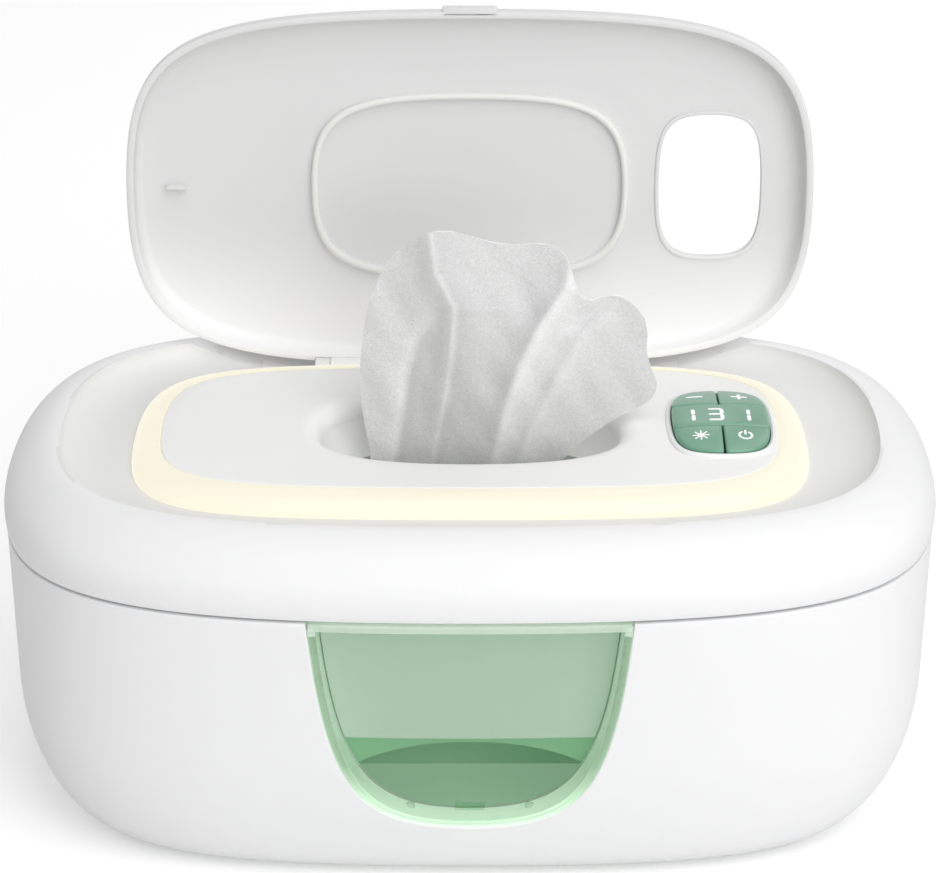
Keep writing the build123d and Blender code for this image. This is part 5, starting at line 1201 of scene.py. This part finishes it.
class WARMER_OT_lid(bpy.types.Operator):
    """Make the open lid with its window, collar, sealing rib, tab, fin and knuckles"""

    bl_idname = "warmer.lid"
    bl_label = "Lid"

    def execute(self, context):
        sizes = context.scene.warmer_sizes
        lid = make_piece("lid_skin", [(swing_lid(ringed(lid_rows())), True, True)],
                         material("lid"), "lid")
        window = plug_rows(LID_WINDOW, PANEL_POWER, LID_RIM_Z, LID_TOP_Z + 5, (PANEL_X, 0.0))
        notches = [[(swing_lid(window[0][0]), False, True)]]
        for side in (-1, 1):
            rod = rod_along_x((side * LID_KNUCKLE_X, *LID_HINGE[1:]), *LID_NOTCH)[0]
            notches.append([(swing_lid(rod), False, True)])
        cut(lid, notches)
        stands_for(lid, "lid")
        self.collar()
        self.trim()
        self.rib(sizes.rib_height / MM)
        return {"FINISHED"}

    def collar(self):
        """A rounded rim round the window, on the lid's inner face."""
        inner, (width, height) = LID_WINDOW, LID_COLLAR
        outer = widened(inner, width)
        low = LID_INNER_Z - height
        soft = ((0, 0.4), (0.12, 0.12), (0.4, 0))   # inset and rise of each soft edge
        rows = [(*outer, PANEL_POWER, LID_INNER_Z + 0.3),
                (*widened(inner, -0.02), PANEL_POWER, LID_TOP_Z - 0.05)]
        rows += [(*widened(inner, inset), PANEL_POWER, low + rise) for inset, rise in soft]
        rows += [(*widened(outer, -inset), PANEL_POWER, low + rise)
                 for inset, rise in soft[::-1]]
        grid = swing_lid(ringed(rows, 160, (PANEL_X, 0.0)))
        piece = make_piece("lid_window_collar", [(grid, True, True)], material("lid"), "lid")
        recalculate(piece)
        stands_for(piece, "lid")

    def trim(self):
        """The finger tab, the small fin and the hinge knuckles."""
        tab = box_grid((-7.5, -LID_HALF[1] - 1.4, LID_RIM_Z),
                       (7.5, -LID_HALF[1] + 1.0, LID_RIM_Z + 2.2))
        fin_x = -LID_HALF[0] + 13.3
        fin = box_grid((fin_x - 3.0, -0.5, DECK_Z + 0.6), (fin_x + 3.0, 0.5, LID_INNER_Z))
        grids = tab + fin
        for side in (-1, 1):
            centre, half = (side * LID_KNUCKLE_X, *LID_HINGE[1:]), LID_KNUCKLE[1] / 2
            grids.append(rod_along_x(centre, *LID_KNUCKLE))
            grids += box_grid((centre[0] - half, LID_HALF[1] - LID_WALL, LID_HINGE[2]),
                              (centre[0] + half, LID_HALF[1], LID_HINGE[2] + 4.0))
        turned = [(swing_lid(grid), wrap_rows, wrap) for grid, wrap_rows, wrap in grids]
        piece = make_piece("lid_trim", turned, material("lid"), "lid", True, 30.0)
        round_edges(piece, 0.0004, 3, 60.0)
        settle(piece)
        stands_for(piece, "lid")

    def rib(self, height):
        """The oval rib that closes over the deck's mouth: a thin wall with a round crest."""
        *half, power = LID_SEAL
        low = LID_INNER_Z - height
        rows = [(*half, power, LID_INNER_Z + 0.2),
                (*widened(half, -2 * RIB_ROUND), power, LID_INNER_Z + 0.2)]
        for angle in np.radians(np.linspace(0, 180, 9)):
            inset = RIB_ROUND + RIB_ROUND * math.cos(angle)
            rows.append((*widened(half, -inset), power,
                         low + RIB_ROUND - RIB_ROUND * math.sin(angle)))
        piece = make_piece("lid_seal_rib", [(swing_lid(ringed(rows, 192)), True, True)],
                           material("silicone"), "lid")
        recalculate(piece)
        stands_for(piece, "lid_seal")


# ---------------------------------------------------------------- wipe
# The standing wipe's edges in millimetres: x and height above the table.
WIPE_LEFT = ((-26.9, 82.0), (-26.7, 91.1), (-28.2, 99.9), (-29.1, 110.1), (-28.7, 120.2),
             (-27.3, 130.2), (-24.3, 140.1), (-20.3, 147.1), (-15.6, 151.3))
WIPE_TOP = ((-15.6, 151.3), (-10.4, 153.2), (-5.2, 153.6), (0.5, 152.4), (5.2, 151.0),
            (10.4, 150.2), (18.2, 150.4), (22.1, 149.6), (24.7, 147.1), (26.3, 142.9),
            (27.4, 138.6), (28.8, 135.6), (31.4, 134.6), (35.3, 135.6), (39.2, 135.7),
            (43.2, 133.0), (45.9, 129.6))
WIPE_RIGHT = ((19.5, 82.0), (22.8, 86.5), (27.8, 91.5), (33.8, 96.9), (39.9, 101.2),
              (45.1, 104.0), (48.4, 106.6), (49.5, 110.1), (48.0, 115.3), (46.7, 120.2),
              (46.8, 124.9), (45.9, 129.6))
# Its folds: the line of each crest, its height along the line, how far it stands out, its
# reach to left and right, and the painted light on either side: its strength, above naught a
# highlight and below it shade, and how far it fades.
WIPE_FOLDS = (
    (((-20.5, 84.0), (-18.1, 99.9), (-16.6, 113.0), (-14.5, 121.6), (-8.6, 133.0),
      (-6.5, 141.0), (-6.0, 153.0)), (0.7, 0.9, 1.0, 0.8, 0.3, 0.0, 0.0), 0.62, 11.0, 2.6,
     (0.9, 3.2), (-0.6, 8.0)),
    (((-10.0, 84.0), (-9.3, 91.1), (-6.1, 107.2), (-4.7, 118.8), (-3.9, 131.6),
      (-8.6, 141.5), (-10.4, 153.2)), (0.5, 0.6, 0.9, 1.0, 1.0, 0.8, 0.6), 1.25, 3.4, 13.0,
     (1.2, 2.6), (-0.4, 5.0)),
    (((5.0, 84.0), (5.9, 88.2), (9.3, 104.3), (13.2, 115.9), (18.4, 127.3), (24.8, 137.3),
      (27.0, 150.0)), (0.5, 0.6, 0.9, 1.0, 1.0, 0.8, 0.3), 0.9, 9.0, 6.5,
     (-0.3, 6.0), (1.0, 4.2)),
    (((11.0, 84.0), (12.0, 86.7), (16.0, 98.5), (22.5, 111.6), (28.9, 124.5), (36.0, 131.0),
      (40.0, 140.0)), (0.5, 0.6, 0.9, 1.0, 0.7, 0.3, 0.2), 0.6, 5.0, 9.0,
     (-0.25, 3.5), (0.45, 5.0)),
)
CREASE = 0.9                # how round each crest is
VIEW_SLOPE = 0.46           # the folds lean back by this much as they go deeper
# The neck's height, over what height the folds grow above it, and their share of depth in it.
WIPE_NECK = (84.0, 40.0, 0.45)
WIPE_THICKNESS = 0.7


def smooth_line(points, shares):
    """A smooth curve through points, read at shares of its length (Catmull-Rom)."""
    points = np.array(points, float)
    length = np.concatenate([[0], np.cumsum(np.hypot(*np.diff(points, axis=0).T))])
    length /= length[-1]
    slope = np.gradient(points, length, axis=0)
    spot = np.clip(np.searchsorted(length, shares, side="right") - 1, 0, len(points) - 2)
    span = (length[spot + 1] - length[spot])[:, None]
    step = ((shares - length[spot])[:, None]) / span
    first, last = points[spot], points[spot + 1]
    return ((2 * step ** 3 - 3 * step ** 2 + 1) * first
            + (step ** 3 - 2 * step ** 2 + step) * span * slope[spot]
            + (-2 * step ** 3 + 3 * step ** 2) * last
            + (step ** 3 - step ** 2) * span * slope[spot + 1])


class WARMER_OT_wipe(bpy.types.Operator):
    """Make the wipe that stands in the slot"""

    bl_idname = "warmer.wipe"
    bl_label = "Standing wipe"

    def execute(self, context):
        fold = context.scene.warmer_sizes.wipe_fold / MM
        spot = self.patch(np.linspace(0, 1, 161), np.linspace(0, 1, 221))
        x, z = spot[..., 0], spot[..., 1]
        depth, light = np.zeros(x.shape), np.zeros(x.shape)
        for crest, heights, size, reach_left, reach_right, before, beyond in WIPE_FOLDS:
            line = np.array(crest)
            aside = x - np.interp(z, line[:, 1], line[:, 0])
            strength = np.interp(z, line[:, 1], heights)
            over = 0.5 + 0.5 * np.tanh(aside / CREASE)
            reach = reach_left + (reach_right - reach_left) * over
            away = np.sqrt(aside ** 2 + CREASE ** 2) - CREASE
            depth = depth - fold * size * strength * np.exp(-away / reach)
            # Painted highlight and shade on either side of the crest.
            gain = before[0] + (beyond[0] - before[0]) * over
            fade = before[1] + (beyond[1] - before[1]) * over
            light = light + gain * strength * np.exp(-away / fade)
        depth += 0.5 * fold + 0.35 * np.sin(0.55 * x + 0.21 * z) * np.sin(0.13 * z)
        neck_z, growth, share = WIPE_NECK
        depth = depth * (share + (1 - share) * np.clip((z - neck_z) / growth, 0, 1))
        grid = np.stack([x, depth, z - VIEW_SLOPE * depth], axis=-1)
        sheet = make_piece("standing_wipe", [(grid, False, False)], material("wipe"),
                           "cover", True, 180.0)
        # The painted light is kept on the mesh as its tone.
        tone = sheet.data.attributes.new("tone", "FLOAT", "POINT")
        order = np.empty(3 * len(sheet.data.vertices))
        sheet.data.vertices.foreach_get("co", order)
        tone.data.foreach_set("value", self.nearest(grid, light, order.reshape(-1, 3) / MM))
        sheet.data.materials.append(material("wipe_edge"))
        thickness = sheet.modifiers.new("Thickness", "SOLIDIFY")
        thickness.thickness = WIPE_THICKNESS * MM
        thickness.offset = 0
        thickness.material_offset_rim = 1
        settle(sheet, 80.0)
        stands_for(sheet, "wipe_sheet")
        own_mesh(sheet)
        return {"FINISHED"}

    def nearest(self, grid, light, spots):
        """The painted light value of each vertex, by the grid point that lies on it."""
        tree = KDTree(light.size)
        for index, point in enumerate(grid.reshape(-1, 3)):
            tree.insert(point, index)
        tree.balance()
        flat = light.ravel()
        return np.array([flat[tree.find(spot)[1]] for spot in spots])

    def patch(self, up, over):
        """A Coons patch between the wipe's four edges: blended sides less their corners."""
        left, right = smooth_line(WIPE_LEFT, up)[:, None], smooth_line(WIPE_RIGHT, up)[:, None]
        top = smooth_line(WIPE_TOP, over)[None]
        foot = left[0] + (right[0] - left[0]) * over[:, None]
        u, v = over[None, :, None], up[:, None, None]
        corners = ((1 - v) * ((1 - u) * left[0] + u * right[0])
                   + v * ((1 - u) * left[-1] + u * right[-1]))
        return (1 - v) * foot[None] + v * top + (1 - u) * left + u * right - corners


# ---------------------------------------------------------------- stage
CAMERA_PLACE = (0.0, -0.8090, 0.4696)
CAMERA_AIM = (0.0, 0.0, 0.0951)
CAMERA_LENS = 128.1
WORLD_LIGHT = 0.42          # strength of the soft light all round
FLOOR_LIFT = 0.31           # what the floor adds to itself for the camera, to turn white
LAMPS = (                   # name, place, what it points at, size and power
    ("key_light", (0.7, -1.45, 0.8), (0, 0, 0.06), 1.3, 12.5),
    ("top_light", (0.4, -0.5, 1.5), (0, 0, 0.08), 1.2, 8.3),
    ("fill_light", (-1.1, -0.9, 0.8), (0, 0, 0.08), 1.2, 0.5),
    ("back_light", (0.3, 1.1, 1.3), (0, 0, 0.1), 1.0, 3.0),
)


def look_at(thing, place, target):
    """Put a lamp or camera in its place, pointing at a target."""
    thing.location = place
    thing.rotation_euler = (Vector(target) - Vector(place)).to_track_quat("-Z", "Y").to_euler()
    bpy.context.scene.collection.objects.link(thing)


class WARMER_OT_stage(bpy.types.Operator):
    """Set the floor, the lights, the world and the camera"""

    bl_idname = "warmer.stage"
    bl_label = "Stage"

    def execute(self, context):
        scene = context.scene
        self.floor()
        self.world(scene)
        for name, place, target, size, power in LAMPS:
            lamp = bpy.data.objects.new(name, bpy.data.lights.new(name, "AREA"))
            lamp.data.size = size
            lamp.data.energy = power
            look_at(lamp, place, target)
        camera = bpy.data.objects.new("camera", bpy.data.cameras.new("camera"))
        camera.data.lens = CAMERA_LENS
        look_at(camera, CAMERA_PLACE, CAMERA_AIM)
        scene.camera = camera
        scene.view_settings.view_transform = "Standard"
        return {"FINISHED"}

    def floor(self):
        """A plain pale floor that turns white for the camera and keeps the shadow."""
        half = 3.0
        mesh = bpy.data.meshes.new("floor")
        mesh.from_pydata([(-half, -half, 0), (half, -half, 0), (half, half, 0),
                          (-half, half, 0)], [], [(0, 1, 2, 3)])
        floor = bpy.data.objects.new("floor", mesh)
        bpy.context.scene.collection.objects.link(floor)
        ground, tree, shader = new_material("pale floor", linear("f2f2f2"), 0.9)
        seen = add(tree, "ShaderNodeLightPath").outputs["Is Camera Ray"]
        shader.inputs["Emission Color"].default_value = (1, 1, 1, 1)
        tree.links.new(times(tree, seen, FLOOR_LIFT), shader.inputs["Emission Strength"])
        mesh.materials.append(ground)

    def world(self, scene):
        """Plain soft light all round, and white where it is seen, mirrored or shines through."""
        world = bpy.data.worlds.new("studio")
        scene.world = world
        world.use_nodes = True
        tree = world.node_tree
        back = tree.nodes["Background"]
        back.inputs["Color"].default_value = (1, 1, 1, 1)
        path = add(tree, "ShaderNodeLightPath").outputs
        seen = joined(tree, "MAXIMUM", path["Is Camera Ray"], path["Is Glossy Ray"])
        seen = joined(tree, "MAXIMUM", seen, path["Is Transmission Ray"])
        tree.links.new(mapped(tree, seen, WORLD_LIGHT, 1.0), back.inputs["Strength"])


class WARMER_PT_panel(bpy.types.Panel):
    """Sizes, finishes and steps of the warmer"""

    bl_idname = "WARMER_PT_panel"
    bl_label = "Wipe warmer"
    bl_space_type = "VIEW_3D"
    bl_region_type = "UI"
    bl_category = "Warmer"

    def draw(self, context):
        for group in (context.scene.warmer_sizes, context.scene.warmer_finish):
            for name in group.bl_rna.properties.keys():
                if name not in ("rna_type", "name"):
                    self.layout.prop(group, name)
        for step in STEPS:
            self.layout.operator(step.bl_idname)


STEPS = (WARMER_OT_finishes, WARMER_OT_base, WARMER_OT_window, WARMER_OT_cover,
         WARMER_OT_ring, WARMER_OT_deck, WARMER_OT_panel, WARMER_OT_lid, WARMER_OT_wipe,
         WARMER_OT_stage)
CLASSES = (WarmerSizes, WarmerFinish, *STEPS, WARMER_PT_panel)


def register():
    """Make the add-on's classes and settings known."""
    for each in CLASSES:
        bpy.utils.register_class(each)
    bpy.types.Scene.warmer_sizes = PointerProperty(type=WarmerSizes)
    bpy.types.Scene.warmer_finish = PointerProperty(type=WarmerFinish)


def unregister():
    """Take them away again."""
    del bpy.types.Scene.warmer_finish
    del bpy.types.Scene.warmer_sizes
    for each in reversed(CLASSES):
        bpy.utils.unregister_class(each)


def main():
    """Take every step."""
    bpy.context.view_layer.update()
    register()
    for step in STEPS:
        space, name = step.bl_idname.split(".")
        getattr(getattr(bpy.ops, space), name)()


if __name__ == "__main__":
    main()
